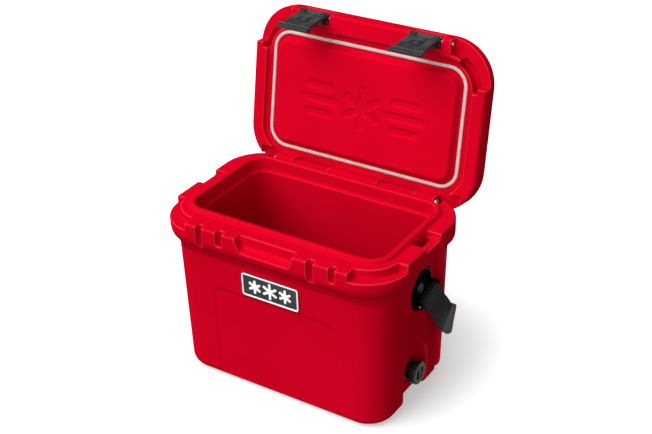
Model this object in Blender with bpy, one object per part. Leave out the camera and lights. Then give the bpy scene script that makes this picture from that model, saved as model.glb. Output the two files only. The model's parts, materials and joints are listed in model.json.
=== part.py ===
"""Hard-sided picnic cooler, lid open: metres, +Z up, front towards -Y, z = 0 under the base."""

import math

import bmesh
import bpy
from mathutils import Matrix, Vector

for leftover in list(bpy.data.objects):
    bpy.data.objects.remove(leftover, do_unlink=True)

# ---------------------------------------------------------------- driving sizes
GAP = 0.0004  # running and assembly clearance between pieces
CORNER_STEPS = 7  # faces round one vertical corner

# the tub
LIP_Z = 0.306  # top of the raised lip, where the gasket lands
LAND_Z = LIP_Z - 0.006  # flat rim outside the lip
LEDGE_Z = LIP_Z - 0.019  # lower ledge at the two front corners
CORNER_X, CORNER_Y = 0.152, -0.079  # where those ledges start
CORNER_KEEP = (0.2025, -0.1265, 0.1265, 0.054)  # outline of the full-height rim inside them
COLLAR_X, COLLAR_FRONT, COLLAR_REAR, COLLAR_R = 0.2195, -0.148, 0.133, 0.073
WALL_X, WALL_FRONT, WALL_REAR, WALL_R = 0.202, -0.132, 0.122, 0.048
BASE_X, BASE_FRONT, BASE_REAR, BASE_FILLET = 0.197, -0.1277, 0.114, 0.016
WALL_TOP = 0.256  # where the walls meet the underside of the collar
MOUTH_X, MOUTH_Y, MOUTH_R = 0.180, 0.09925, 0.028
RING_X, RING_Y, RING_R = 0.192, 0.111, 0.042
SHELF_Z = LIP_Z - 0.024  # small inner shelf all round the mouth
FLOOR_X, FLOOR_Y, FLOOR_Z = 0.164, 0.086, 0.036
SKIN = 0.005  # moulded wall on each side of the foam
CAVITY_TOP = 0.261  # the foam stops here, under the rim
RIM_JOIN = 0.2614  # the tub's moulding is modelled as walls below here and a rim above
SIDE_JOIN = 0.1674  # and its walls as a middle and two ends
RIM_END = 0.076  # and its rim as a front, a rear and two sides

# the lid, drawn closed, then swung open about the hinge
LID_OPEN = math.radians(99.7)
HINGE_Y, HINGE_Z = 0.1245, LIP_Z - 0.0137
LID_FRONT, LID_REAR, LID_R = -0.146, 0.145, 0.075
LID_UNDER = LAND_Z + 0.0006
LID_ROOF = LIP_Z + 0.0025  # underside inside the skirt, above the lip
LID_TOP = 0.344
CORNER_ROOF = LIP_Z + 0.013  # underside over the two front corner gaps
LID_CORNER_X, LID_CORNER_Y = 0.151, -0.076  # where the lid's two front corner gaps start
PLUG_BOTTOM = LIP_Z - 0.008
ROD_R = 0.003
KNUCKLE_R = 0.0105
CENTRE_KNUCKLE = 0.049
SIDE_KNUCKLE = (0.119, 0.157)

# the latches
LATCH_X, LATCH_HALF = 0.105, 0.030
LATCH_ROD_Y, LATCH_ROD_Z = -0.138, LIP_Z + 0.002
LATCH_DROOP = math.radians(19.0)  # how far a latch hangs in under the open lid
LATCH_VENTS = ((0.008, -0.0450), (0.017, -0.0560))
TALL_SLOT, SHORT_SLOT = LIP_Z - 0.043, LIP_Z - 0.030  # feet of the keeper slots
SLOTS = (
    (-0.131, -0.119, TALL_SLOT),
    (-0.092, -0.079, SHORT_SLOT),
    (0.079, 0.092, TALL_SLOT),
    (0.119, 0.131, SHORT_SLOT),
)

# the carrying strap and its hubs
HUB_Y, HUB_Z, HUB_R = 0.004, 0.206, 0.0365
HUB_FLOOR, HUB_FACE = 0.185, 0.1985
STRAP_W, STRAP_T = 0.048, 0.0028
BAR_R = 0.003
BAR_AT = Vector((0.208, 0.009, 0.195))
BAR_DIR = Vector((0.0, 0.958, 0.287)).normalized()

# the drain
DRAIN_Y, DRAIN_Z = -0.008, 0.048
DRAIN_WALL = 0.178  # floor of the arched recess round the plug
DRAIN_BORE = 0.0125


# ---------------------------------------------------------------- helpers
def material(name, colour, roughness, metallic=0.0):
    made = bpy.data.materials.new(name)
    made.use_nodes = True
    shader = made.node_tree.nodes["Principled BSDF"]
    shader.inputs["Base Color"].default_value = (*colour, 1.0)
    shader.inputs["Roughness"].default_value = roughness
    shader.inputs["Metallic"].default_value = metallic
    made.diffuse_color = (*colour, 1.0)
    return made


RED = material("red_polyethylene", (0.62, 0.005, 0.014), 0.42)
FOAM = material("polyurethane_foam", (0.80, 0.72, 0.52), 0.9)
BLACK = material("black_nylon", (0.012, 0.012, 0.013), 0.5)
RUBBER = material("black_rubber", (0.02, 0.02, 0.02), 0.8)
SEAL = material("grey_gasket", (0.72, 0.68, 0.66), 0.65)
WHITE = material("white_inlay", (0.85, 0.85, 0.85), 0.4)
DARK_STEEL = material("black_screw", (0.03, 0.03, 0.032), 0.45, 0.6)
STEEL = material("stainless_steel", (0.56, 0.56, 0.57), 0.3, 1.0)
BRASS = material("brass", (0.62, 0.44, 0.18), 0.35, 1.0)
WEBBING = material("black_webbing", (0.02, 0.02, 0.022), 0.85)


def finish(name, bm, finish_material, origin=(0.0, 0.0, 0.0), smooth=True):
    """The mesh as an object whose origin is `origin`; the mesh is given in world space."""
    bmesh.ops.recalc_face_normals(bm, faces=bm.faces)
    bmesh.ops.connect_verts_nonplanar(bm, angle_limit=0.0001, faces=bm.faces)
    mesh = bpy.data.meshes.new(name)
    bmesh.ops.translate(bm, verts=bm.verts, vec=-Vector(origin))
    bm.to_mesh(mesh)
    bm.free()
    if smooth:
        mesh.shade_smooth()
        mesh.set_sharp_from_angle(angle=math.radians(35))
    mesh.materials.append(finish_material)
    made = bpy.data.objects.new(name, mesh)
    made.location = origin
    bpy.context.scene.collection.objects.link(made)
    return made


def tool(name, bm):
    """A hidden mesh that a Boolean uses."""
    made = finish("tool_" + name, bm, RED, smooth=False)
    made.hide_render = True
    made.display_type = "WIRE"
    return made


def boolean(target, other, operation="DIFFERENCE"):
    step = target.modifiers.new(other.name, "BOOLEAN")
    step.operation = operation
    step.object = other
    return target


def ring(half_x, front, rear, radius, z, inset=0.0):
    """A level rounded rectangle, counter-clockwise from above."""
    half_x, front, rear = half_x - inset, front + inset, rear - inset
    radius = max(radius - inset, 0.004)
    points = []
    corners = (
        (half_x - radius, rear - radius),
        (radius - half_x, rear - radius),
        (radius - half_x, front + radius),
        (half_x - radius, front + radius),
    )
    for quarter, (x, y) in enumerate(corners):
        for step in range(CORNER_STEPS + 1):
            turn = math.radians(90 * (quarter + step / CORNER_STEPS))
            points.append(Vector((x + radius * math.cos(turn), y + radius * math.sin(turn), z)))
    return points


def loft(rings, closed=False):
    """Skins a stack of rings; the ends are capped unless the stack closes on itself."""
    bm = bmesh.new()
    rows = [[bm.verts.new(point) for point in points] for points in rings]
    pairs = list(zip(rows, rows[1:]))
    if closed:
        pairs.append((rows[-1], rows[0]))
    for low, high in pairs:
        for here in range(len(low)):
            there = (here + 1) % len(low)
            bm.faces.new((low[here], low[there], high[there], high[here]))
    if not closed:
        bm.faces.new(reversed(rows[0]))
        bm.faces.new(rows[-1])
    return bm


def box(low, high):
    corners = [(x, y) for x, y in ((0, 0), (1, 0), (1, 1), (0, 1))]
    ends = (Vector(low), Vector(high))
    return loft(
        [[Vector((ends[x].x, ends[y].y, end.z)) for x, y in corners] for end in ends]
    )


def mirrored_x(bm):
    """Adds the copy on the other side of x = 0."""
    bmesh.ops.recalc_face_normals(bm, faces=bm.faces)
    copy = bmesh.ops.duplicate(bm, geom=bm.verts[:] + bm.edges[:] + bm.faces[:])["geom"]
    points = [item for item in copy if isinstance(item, bmesh.types.BMVert)]
    faces = [item for item in copy if isinstance(item, bmesh.types.BMFace)]
    bmesh.ops.scale(bm, vec=(-1.0, 1.0, 1.0), verts=points)
    bmesh.ops.reverse_faces(bm, faces=faces)
    return bm


def join(first, *others):
    """Meshes that don't touch, as one mesh."""
    for other in others:
        spare = bpy.data.meshes.new("spare")
        other.to_mesh(spare)
        other.free()
        first.from_mesh(spare)
        bpy.data.meshes.remove(spare)
    return first


def turned(profile, start, axis, steps=20):
    """Turns (distance along the axis, radius) pairs about the axis through start."""
    axis = Vector(axis).normalized()
    side = axis.orthogonal().normalized()
    up = axis.cross(side)
    rings = []
    for along, radius in profile:
        centre = Vector(start) + axis * along
        turns = [2 * math.pi * step / steps for step in range(steps)]
        rings.append([centre + radius * (side * math.cos(t) + up * math.sin(t)) for t in turns])
    return rings


def rod(start, axis, length, radius, steps=16):
    return loft(turned(((0, radius), (length, radius)), start, axis, steps))


def tube(start, axis, length, outer, inner, steps=20):
    profile = ((0, outer), (length, outer), (length, inner), (0, inner))
    return loft(turned(profile, start, axis, steps), closed=True)


def prism(outline, low, high, axis=0):
    """Extrudes a flat outline along X (axis 0) or Y (axis 1)."""
    rows = []
    for at in (low, high):
        rows.append([Vector((at, a, b)) if axis == 0 else Vector((a, at, b)) for a, b in outline])
    return loft(rows)


def arc(centre, radius, start, end, steps):
    """Points on a flat arc, angles in degrees."""
    turns = [math.radians(start + (end - start) * step / steps) for step in range(steps + 1)]
    return [(centre[0] + radius * math.cos(t), centre[1] + radius * math.sin(t)) for t in turns]


def side_name(side):
    return "right" if side > 0 else "left"


def front_face(z):
    """y of the tub's drafted front face."""
    return BASE_FRONT + (WALL_FRONT - BASE_FRONT) * z / WALL_TOP


# ---------------------------------------------------------------- tub
def wall_ring(z, inset=0.0):
    part = z / WALL_TOP
    return ring(
        BASE_X + (WALL_X - BASE_X) * part,
        BASE_FRONT + (WALL_FRONT - BASE_FRONT) * part,
        BASE_REAR + (WALL_REAR - BASE_REAR) * part,
        WALL_R,
        z,
        inset,
    )


def inner_ring(z, outset=0.0):
    """The inside of the tub below its shelf."""
    part = (z - FLOOR_Z) / (SHELF_Z - FLOOR_Z)
    half_x = FLOOR_X + (MOUTH_X - 0.006 - FLOOR_X) * part
    half_y = FLOOR_Y + (MOUTH_Y - 0.006 - FLOOR_Y) * part
    return ring(half_x, -half_y, half_y, MOUTH_R - 0.003, z, -outset)


def tub_solid():
    """Outside of the tub up to the lip, filled."""
    rings = []
    for step in range(4):
        turn = math.radians(30 * step)
        z = BASE_FILLET * (1 - math.cos(turn))
        rings.append(wall_ring(z, BASE_FILLET * (1 - math.sin(turn))))
    rings += [wall_ring(0.240), ring(0.2025, -0.138, WALL_REAR, 0.050, WALL_TOP)]
    rings += [
        ring(0.213, -0.1435, 0.127, 0.062, 0.261),
        ring(0.2185, -0.1465, 0.132, 0.071, 0.267),
        ring(COLLAR_X, COLLAR_FRONT, COLLAR_REAR, COLLAR_R, 0.274),
        ring(COLLAR_X, COLLAR_FRONT, COLLAR_REAR, COLLAR_R, LAND_Z - 0.004),
        ring(COLLAR_X, COLLAR_FRONT, COLLAR_REAR, COLLAR_R, LAND_Z - 0.0012, 0.0012),
        ring(COLLAR_X, COLLAR_FRONT, COLLAR_REAR, COLLAR_R, LAND_Z, 0.004),
    ]
    rings += [
        ring(RING_X, -RING_Y, RING_Y, RING_R, LAND_Z),
        ring(RING_X - 0.002, 0.002 - RING_Y, RING_Y - 0.002, RING_R, LIP_Z - 0.0015),
        ring(RING_X - 0.0035, 0.0035 - RING_Y, RING_Y - 0.0035, RING_R - 0.0015, LIP_Z),
    ]
    return loft(rings)


def neck_ring(z, outset=0.0):
    """The mouth above the inner shelf."""
    return ring(MOUTH_X, -MOUTH_Y, MOUTH_Y, MOUTH_R, z, -outset)


def liner_solid():
    """Inner skin of the tub, from the lip down to the floor and back up the inside."""
    return loft(
        [
            inner_ring(FLOOR_Z - SKIN, -0.010),
            inner_ring(FLOOR_Z + 0.002, SKIN - 0.0035),
            inner_ring(FLOOR_Z + 0.010, SKIN),
            inner_ring(SHELF_Z - SKIN, SKIN),
            neck_ring(SHELF_Z, SKIN),
            neck_ring(LIP_Z, SKIN),
            neck_ring(LIP_Z, 0.0015),
            neck_ring(LIP_Z - 0.0015),
            neck_ring(SHELF_Z + 0.002, -0.0015),
            inner_ring(SHELF_Z),
            inner_ring(FLOOR_Z + 0.012),
            inner_ring(FLOOR_Z + 0.0035, -0.0035),
            inner_ring(FLOOR_Z, -0.012),
        ]
    )


def shell_hollow():
    """Everything inside the outer skin: room for the foam and the liner."""
    return loft(
        [
            wall_ring(SKIN, 0.014),
            wall_ring(0.020, SKIN),
            wall_ring(CAVITY_TOP, SKIN),
            neck_ring(CAVITY_TOP, SKIN + GAP),
            neck_ring(0.320, SKIN + GAP),
        ]
    )


def foam_cup():
    """Foam between the two skins, clear of both."""
    return loft(
        [
            wall_ring(SKIN + GAP, 0.014 + GAP),
            wall_ring(0.020, SKIN + GAP),
            wall_ring(CAVITY_TOP - GAP, SKIN + GAP),
            inner_ring(CAVITY_TOP - GAP, SKIN + GAP),
            inner_ring(FLOOR_Z + 0.010, SKIN + GAP),
            inner_ring(FLOOR_Z + 0.002, SKIN + GAP - 0.002),
            inner_ring(FLOOR_Z - SKIN - GAP, -0.006),
        ]
    )


def tub_keep_outs(gap):
    """Room that the foam leaves behind the hubs, the side channels and the drain."""
    hubs = mirrored_x(rod((HUB_FLOOR - 0.0068 - gap, HUB_Y, HUB_Z), (1, 0, 0), 0.06, 0.0415 + gap))
    channels = mirrored_x(box((0.1825 - gap, 0.026 - gap, -0.01), (0.23, 0.088 + gap, 0.27)))
    drain = box((0.1725 - gap, -0.058 - gap, -0.01), (0.23, 0.035 + gap, 0.107 + gap))
    return hubs, channels, drain


def front_panel_cutter(depth=0.0018):
    """Shallow lower panel of the front face, open at the foot."""
    half, top, radius = 0.116, 0.184, 0.016
    outline = arc((half - radius, top - radius), radius, 0, 90, 5)
    outline += arc((radius - half, top - radius), radius, 90, 180, 5)
    outline += [(-half, -0.01), (half, -0.01)]
    rows = []
    for proud in (-0.03, depth):
        rows.append([Vector((x, front_face(z) + proud, z)) for x, z in outline])
    return loft(rows)


def corner_cutter():
    """Drops the rim to the ledge at a front corner."""
    block = tool("corner_block", box((CORNER_X, -0.17, LEDGE_Z), (0.24, CORNER_Y, 0.32)))
    keep = [ring(*CORNER_KEEP, z) for z in (0.26, 0.34)]
    boolean(block, tool("rim_keep", loft(keep)))
    return block


def tub_cutters():
    """Every recess in the tub that opens to the outside, as named hidden meshes."""
    made = []
    slots = [box((a, -0.17, foot), (b, -0.137, 0.32)) for a, b, foot in SLOTS]
    made.append(tool("latch_slots", join(*slots)))
    grip = [
        [(-0.045, -0.134, 0.2812), (0.045, -0.134, 0.2812), (0.045, -0.16, 0.2725), (-0.045, -0.16, 0.2725)],
        [(-0.063, -0.1305, 0.32), (0.063, -0.1305, 0.32), (0.063, -0.16, 0.32), (-0.063, -0.16, 0.32)],
    ]
    made.append(tool("front_grip", loft([[Vector(point) for point in level] for level in grip])))
    notch = mirrored_x(box((RING_X + 0.0015, -0.021, LIP_Z - 0.0156), (0.24, 0.027, 0.32)))
    made.append(tool("side_notch", notch))
    pocket = mirrored_x(box((RING_X + 0.0015, -0.017, LIP_Z - 0.036), (0.2045, 0.023, 0.31)))
    made.append(tool("side_pocket", pocket))
    hinge = box((-CENTRE_KNUCKLE - 0.001, RING_Y + 0.0008, 0.276), (CENTRE_KNUCKLE + 0.001, 0.16, 0.32))
    outer = mirrored_x(box((SIDE_KNUCKLE[0] - 0.001, RING_Y + 0.0008, 0.276), (0.172, 0.16, 0.32)))
    made.append(tool("hinge_notches", join(hinge, outer)))
    made.append(tool("hinge_bore", rod((-0.121, HINGE_Y, HINGE_Z), (1, 0, 0), 0.242, ROD_R + GAP)))
    hubs = mirrored_x(rod((HUB_FLOOR, HUB_Y, HUB_Z), (1, 0, 0), 0.05, HUB_R + 0.0015, 30))
    made.append(tool("hub_recess", hubs))
    inserts = mirrored_x(rod((HUB_FLOOR - 0.0055, HUB_Y, HUB_Z), (1, 0, 0), 0.02, 0.006 + GAP))
    made.append(tool("insert_pocket", inserts))
    channel = [(0.033, 0.23), (0.033, 0.2035), (0.038, 0.1945), (0.066, 0.1935), (0.068, 0.1875)]
    channel += [(0.077, 0.1875), (0.0805, 0.2035), (0.0805, 0.23)]
    level = [[Vector((x, y, z)) for y, x in channel] for z in (-0.01, WALL_TOP - 0.001)]
    made.append(tool("side_channel", mirrored_x(loft(level))))
    arch = arc((-0.0115, 0.061), 0.0385, 0, 180, 12) + [(-0.050, -0.01), (0.027, -0.01)]
    made.append(tool("drain_recess", prism(arch, DRAIN_WALL, 0.24)))
    made.append(tool("drain_bore", rod((0.15, DRAIN_Y, DRAIN_Z), (1, 0, 0), 0.05, DRAIN_BORE + GAP)))
    made.append(tool("front_panel", front_panel_cutter()))
    feet = [rod((x, y, -0.01), (0, 0, 1), 0.0154, 0.0144) for x, y in FOOT_SPOTS]
    made.append(tool("foot_pockets", join(*feet)))
    made.append(tool("fill_hole", rod((0, 0.060, -0.01), (0, 0, 1), 0.022, 0.012)))
    made.append(corner_cutter())
    made.append(tool("corner_far", mirror_of(corner_cutter())))
    return made


def mirror_of(original):
    """The evaluated mesh of a hidden tool, mirrored in x, as a new mesh."""
    graph = bpy.context.evaluated_depsgraph_get()
    bm = bmesh.new()
    bm.from_object(original, graph)
    bmesh.ops.scale(bm, vec=(-1.0, 1.0, 1.0), verts=bm.verts)
    bmesh.ops.reverse_faces(bm, faces=bm.faces)
    return bm


FOOT_SPOTS = [(x, y) for x in (-0.150, 0.150) for y in (-0.085, 0.070)]


def shell_zones():
    """Boxes that divide the tub's outer moulding into simpler pieces with small gaps between them."""
    far, low, rim = 0.3, -0.1, RIM_JOIN + GAP
    grip_end, latch_end = 0.0690, CORNER_X
    zones = {
        "body_shell": box((-SIDE_JOIN, -far, low), (SIDE_JOIN, far, RIM_JOIN)),
        "rim_front": box((-grip_end, -far, rim), (grip_end, -RIM_END, far * 2)),
        "rim_rear": box((-far, RIM_END, rim), (far, far, far * 2)),
    }
    ends = {
        "body_side": ((SIDE_JOIN + GAP, -far, low), (far, far, RIM_JOIN)),
        "rim_latch": ((grip_end + GAP, -far, rim), (latch_end, -RIM_END, far * 2)),
        "rim_corner": ((latch_end + GAP, -far, rim), (far, -RIM_END, far * 2)),
        "rim_side": ((0.1, GAP - RIM_END, rim), (far, RIM_END - GAP, far * 2)),
    }
    for label, (near, away) in ends.items():
        zones[f"{label}_right"] = box(near, away)
        zones[f"{label}_left"] = box((-away[0], *near[1:]), (-near[0], *away[1:]))
    return zones


def divide(whole, zones):
    """Replaces a piece with the parts of it that lie in each zone."""
    name = whole.name
    whole.name = f"{name}_whole"
    whole.hide_render = True
    whole.display_type = "WIRE"
    for label, zone in zones.items():
        bm = bmesh.new()
        bm.from_object(whole, bpy.context.evaluated_depsgraph_get())
        bmesh.ops.remove_doubles(bm, verts=bm.verts, dist=0.00002)
        bmesh.ops.triangulate(bm, faces=bm.faces)
        piece = finish(label, bm, RED)
        boolean(piece, tool(f"{label}_zone", zone), "INTERSECT")


def build_tub():
    shell = finish("body_shell", tub_solid(), RED)
    for cutter in tub_cutters():
        boolean(shell, cutter)
    hollow = tool("shell_hollow", shell_hollow())
    for index, keep_out in enumerate(tub_keep_outs(0.0)):
        boolean(hollow, tool(f"hollow_keep_{index}", keep_out))
    boolean(shell, hollow)
    divide(shell, shell_zones())

    liner = finish("tub_liner", liner_solid(), RED)
    drain_hole = rod((0.15, DRAIN_Y, DRAIN_Z), (1, 0, 0), 0.05, DRAIN_BORE + GAP)
    boolean(liner, tool("liner_drain_hole", drain_hole))
    floor_join = FLOOR_Z + 0.0145
    floor_zone = box((-0.3, -0.3, -0.1), (0.3, 0.3, floor_join))
    wall_zone = box((-0.3, -0.3, floor_join + GAP), (0.3, 0.3, 0.4))
    divide(liner, {"liner_floor": floor_zone, "tub_liner": wall_zone})

    foam = finish("body_foam", foam_cup(), FOAM)
    around_bushing = rod((0.15, DRAIN_Y, DRAIN_Z), (1, 0, 0), 0.05, DRAIN_BORE + 0.002)
    boolean(foam, tool("foam_drain_hole", around_bushing))
    for index, keep_out in enumerate(tub_keep_outs(GAP)):
        boolean(foam, tool(f"foam_keep_{index}", keep_out))

    finish("body_fill_plug", rod((0, 0.060, 0.0004), (0, 0, 1), SKIN - 0.0006, 0.0116), BLACK)
    for x, y in FOOT_SPOTS:
        name = f"foot_{'front' if y < 0 else 'rear'}_{side_name(x)}"
        finish(name, rod((x, y, 0.0), (0, 0, 1), 0.005, 0.014), RUBBER)


# ---------------------------------------------------------------- badge on the front
def bar_outline(length, width, steps=4):
    """A bar with round ends, centred on the origin."""
    reach = (length - width) / 2
    right = arc((reach, 0), width / 2, -90, 90, steps)
    return right + arc((-reach, 0), width / 2, 90, 270, steps)


def flake(length, width, depth, at, steps=3):
    """Six-armed flake: three crossing bars as separate meshes, flat side along Y."""
    bars = []
    for turn in (30, 90, 150):
        c, s = math.cos(math.radians(turn)), math.sin(math.radians(turn))
        spun = [(x * c - z * s, x * s + z * c) for x, z in bar_outline(length, width, steps)]
        bars.append(prism(spun, 0.0, depth, axis=1))
    for bar in bars:
        bmesh.ops.translate(bar, verts=bar.verts, vec=Vector(at))
    return bars


def build_badge():
    """Plate, rim and a plain snow-flake emblem, set on the drafted face."""
    centre_z, half_x, half_z, radius = 0.211, 0.054, 0.021, 0.005
    tilt = math.atan2(BASE_FRONT - WALL_FRONT, WALL_TOP)

    def outline(inset):
        points = []
        corners = ((1, 1, 0), (-1, 1, 90), (-1, -1, 180), (1, -1, 270))
        for right, up, start in corners:
            centre = (right * (half_x - radius), up * (half_z - radius))
            points += arc(centre, radius - inset, start, start + 90, 4)
        return points

    def set_on_face(made):
        made.location = (0, front_face(centre_z) - GAP, centre_z)
        made.rotation_euler = (tilt, 0, 0)

    plate = finish("badge_plate", prism(outline(0.0), -0.0016, 0.0, axis=1), BLACK)
    set_on_face(plate)
    rows = []
    for proud, inset in ((-0.0020, 0.0002), (-0.0030, 0.0004), (-0.0030, 0.0026), (-0.0020, 0.0026)):
        rows.append([Vector((x, proud, z)) for x, z in outline(inset)])
    set_on_face(finish("badge_border", loft(rows, closed=True), WHITE))

    first, *others = flake(0.030, 0.0036, -0.0010, (0, -0.0020, 0))
    emblem = finish("badge_emblem", first, WHITE)
    set_on_face(emblem)
    for index, bar in enumerate(others):
        arm = tool(f"flake_arm_{index}", bar)
        set_on_face(arm)
        boolean(emblem, arm, "UNION")


# ---------------------------------------------------------------- lid
def lid_solid():
    rings = [
        ring(0.168, -0.087, 0.087, 0.020, PLUG_BOTTOM),
        ring(0.1705, -0.0895, 0.0895, 0.0225, PLUG_BOTTOM + 0.0025),
        ring(0.174, -0.093, 0.093, 0.024, LID_ROOF),
        ring(0.1955, -0.1145, 0.1145, 0.046, LID_ROOF),
        ring(0.1965, -0.1155, 0.1155, 0.047, LID_UNDER),
        ring(COLLAR_X, LID_FRONT, LID_REAR, LID_R, LID_UNDER, 0.003),
        ring(COLLAR_X, LID_FRONT, LID_REAR, LID_R, LID_UNDER + 0.003),
        ring(COLLAR_X, LID_FRONT, LID_REAR, LID_R, 0.330, 0.0006),
        ring(COLLAR_X, LID_FRONT, LID_REAR, LID_R, 0.337, 0.0026),
        ring(COLLAR_X, LID_FRONT, LID_REAR, LID_R, 0.3415, 0.0065),
        ring(COLLAR_X, LID_FRONT, LID_REAR, LID_R, 0.3425, 0.012),
        ring(COLLAR_X, LID_FRONT, LID_REAR, LID_R, 0.3425, 0.024),
        ring(COLLAR_X, LID_FRONT, LID_REAR, LID_R, LID_TOP, 0.027),
    ]
    return loft(rings)


def lid_cutters():
    made = []
    made.append(tool("lid_rear_room", box((-0.1955, 0.108, 0.29), (0.1955, 0.16, LID_ROOF))))
    pocket = box((LATCH_X - 0.0295, -0.17, 0.29), (LATCH_X + 0.0295, -0.127, LIP_Z + 0.0145))
    made.append(tool("latch_pockets", mirrored_x(pocket)))
    bores = rod((0.0640, LATCH_ROD_Y, LATCH_ROD_Z), (1, 0, 0), 0.1, ROD_R + GAP)
    made.append(tool("latch_rod_bores", mirrored_x(bores)))
    wells = rod((0.1455, LATCH_ROD_Y, LATCH_ROD_Z), (1, 0, 0), 0.012, 0.0058)
    made.append(tool("rod_wells", mirrored_x(wells)))
    block = tool("lid_corner_block", box((LID_CORNER_X, -0.17, 0.29), (0.24, LID_CORNER_Y, CORNER_ROOF)))
    keep = [ring(0.202, -0.121, 0.121, 0.053, z) for z in (0.28, 0.33)]
    boolean(block, tool("lid_keep", loft(keep)))
    made.append(block)
    far = tool("lid_corner_far", mirror_of(block))
    made.append(far)
    made.append(tool("lid_fill_hole", rod((0.085, 0.095, 0.326), (0, 1, 0), 0.06, 0.0075)))
    return made


def lid_knuckle(low, high):
    """Barrel and neck of one hinge knuckle, drawn closed."""
    outline = arc((HINGE_Y, HINGE_Z), KNUCKLE_R, 180, 360, 12)
    outline += [(HINGE_Y + KNUCKLE_R, LID_ROOF + 0.004), (HINGE_Y - KNUCKLE_R, LID_ROOF + 0.004)]
    return prism(outline, low, high)


def lid_emblem_cutters():
    """Plain debossed flake and bars on the lid's inner panel."""
    depth = 0.0016
    pieces = []
    for side in (-1, 1):
        for y, length in ((-0.024, 0.056), (0.0, 0.074), (0.024, 0.056)):
            outline = bar_outline(length, 0.013)
            centre = Vector((side * 0.083, y, 0))
            rows = []
            for z in (PLUG_BOTTOM - 0.01, PLUG_BOTTOM + depth):
                rows.append([Vector((x, v, z)) + centre for x, v in outline])
            pieces.append(loft(rows))
    made = [tool("lid_bars", join(*pieces))]
    for index, arm in enumerate(flake(0.078, 0.013, 0.012, (0, 0, 0))):
        turn = Matrix.Rotation(math.radians(-90), 4, "X")
        bmesh.ops.transform(arm, matrix=turn, verts=arm.verts)
        bmesh.ops.translate(arm, verts=arm.verts, vec=(0, 0, PLUG_BOTTOM + depth))
        made.append(tool(f"lid_flake_{index}", arm))
    return made


def lid_cavity(gap):
    """The space inside the lid; `gap` shrinks it on every side."""
    ledge, shoulder = LID_ROOF + 0.0055, 0.3255
    return loft(
        [
            ring(0.161, -0.080, 0.080, 0.016, PLUG_BOTTOM + 0.006 + gap, gap),
            ring(0.166, -0.085, 0.085, 0.020, ledge - 0.0006 + gap, gap),
            ring(0.188, -0.106, 0.102, 0.042, ledge + gap, gap),
            ring(0.188, -0.106, 0.102, 0.042, shoulder - 0.0006 + gap, gap),
            ring(0.2125, -0.121, 0.137, 0.068, shoulder + gap, gap),
            ring(0.2115, -0.120, 0.136, 0.067, 0.3375 - gap, gap),
        ]
    )


def swing_open(pieces):
    """Turns pieces that are drawn closed about the hinge, into the open pose."""
    hinge = Vector((0, HINGE_Y, HINGE_Z))
    turn = Matrix.Translation(hinge) @ Matrix.Rotation(-LID_OPEN, 4, "X") @ Matrix.Translation(-hinge)
    for piece in pieces:
        bpy.context.view_layer.update()
        piece.matrix_world = turn @ piece.matrix_world


def build_lid():
    shell = finish("lid_shell", lid_solid(), RED)
    knuckles = [(-CENTRE_KNUCKLE, CENTRE_KNUCKLE), SIDE_KNUCKLE, tuple(-x for x in reversed(SIDE_KNUCKLE))]
    cutters = lid_cutters()
    for cutter in cutters:
        boolean(shell, cutter)
    added = [tool(f"knuckle_{index}", lid_knuckle(*span)) for index, span in enumerate(knuckles)]
    for knuckle in added:
        boolean(shell, knuckle, "UNION")
    bore = tool("lid_hinge_bore", rod((-0.18, HINGE_Y, HINGE_Z), (1, 0, 0), 0.36, ROD_R + GAP))
    boolean(shell, bore)
    cutters += lid_emblem_cutters()
    for cutter in cutters[-4:]:
        boolean(shell, cutter)
    cavity = tool("lid_cavity", lid_cavity(0.0))
    boolean(shell, cavity)
    cutters += [*added, bore, cavity]

    foam = finish("lid_foam", lid_cavity(GAP), FOAM)
    plug = rod((0.085, 0.1373, 0.326), (0, 1, 0), 0.0068, 0.0071)
    fill_plug = finish("lid_fill_plug", plug, BLACK)
    seal = []
    for z, spread in ((LID_ROOF - GAP, 0.0), (LIP_Z + 0.0011, 0.0002), (LIP_Z + GAP, 0.0016)):
        seal.append(ring(0.1845, -0.1038, 0.1038, 0.034, z, spread))
    for z, spread in ((LIP_Z + GAP, 0.0016), (LIP_Z + 0.0011, 0.0002), (LID_ROOF - GAP, 0.0)):
        seal.append(ring(0.179, -0.0983, 0.0983, 0.0285, z, -spread))
    gasket = finish("lid_gasket", loft(seal, closed=True), SEAL)

    pieces = [shell, foam, fill_plug, gasket]
    return pieces, cutters


# ---------------------------------------------------------------- hinge rod and latches
def build_hinge_rod():
    reach = 0.161
    finish("hinge_rod", rod((-reach, HINGE_Y, HINGE_Z), (1, 0, 0), 2 * reach, ROD_R), STEEL)
    for side in (-1, 1):
        cap = tube((side * 0.1576, HINGE_Y, HINGE_Z), (side, 0, 0), 0.0024, 0.0062, ROD_R + GAP)
        finish(f"hinge_clip_{side_name(side)}", cap, STEEL)


def latch_profile():
    """Side view of a latch hanging straight down, rod axis at the origin."""
    outline = arc((0, 0), 0.0058, -100, 140, 12)
    outline += [(-0.0060, 0.0036), (-0.0105, -0.0175), (-0.0138, -0.0400), (-0.0150, -0.0600)]
    outline += [(-0.0176, -0.0665), (-0.0176, -0.0735), (-0.0145, -0.0755), (-0.0112, -0.0725)]
    outline += [(-0.0112, -0.0600), (-0.0102, -0.0400), (-0.0069, -0.0185), (-0.0046, -0.0085)]
    return outline


def hung_tool(name, bm, latch):
    made = tool(name, bm)
    made.parent = latch
    return made


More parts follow.
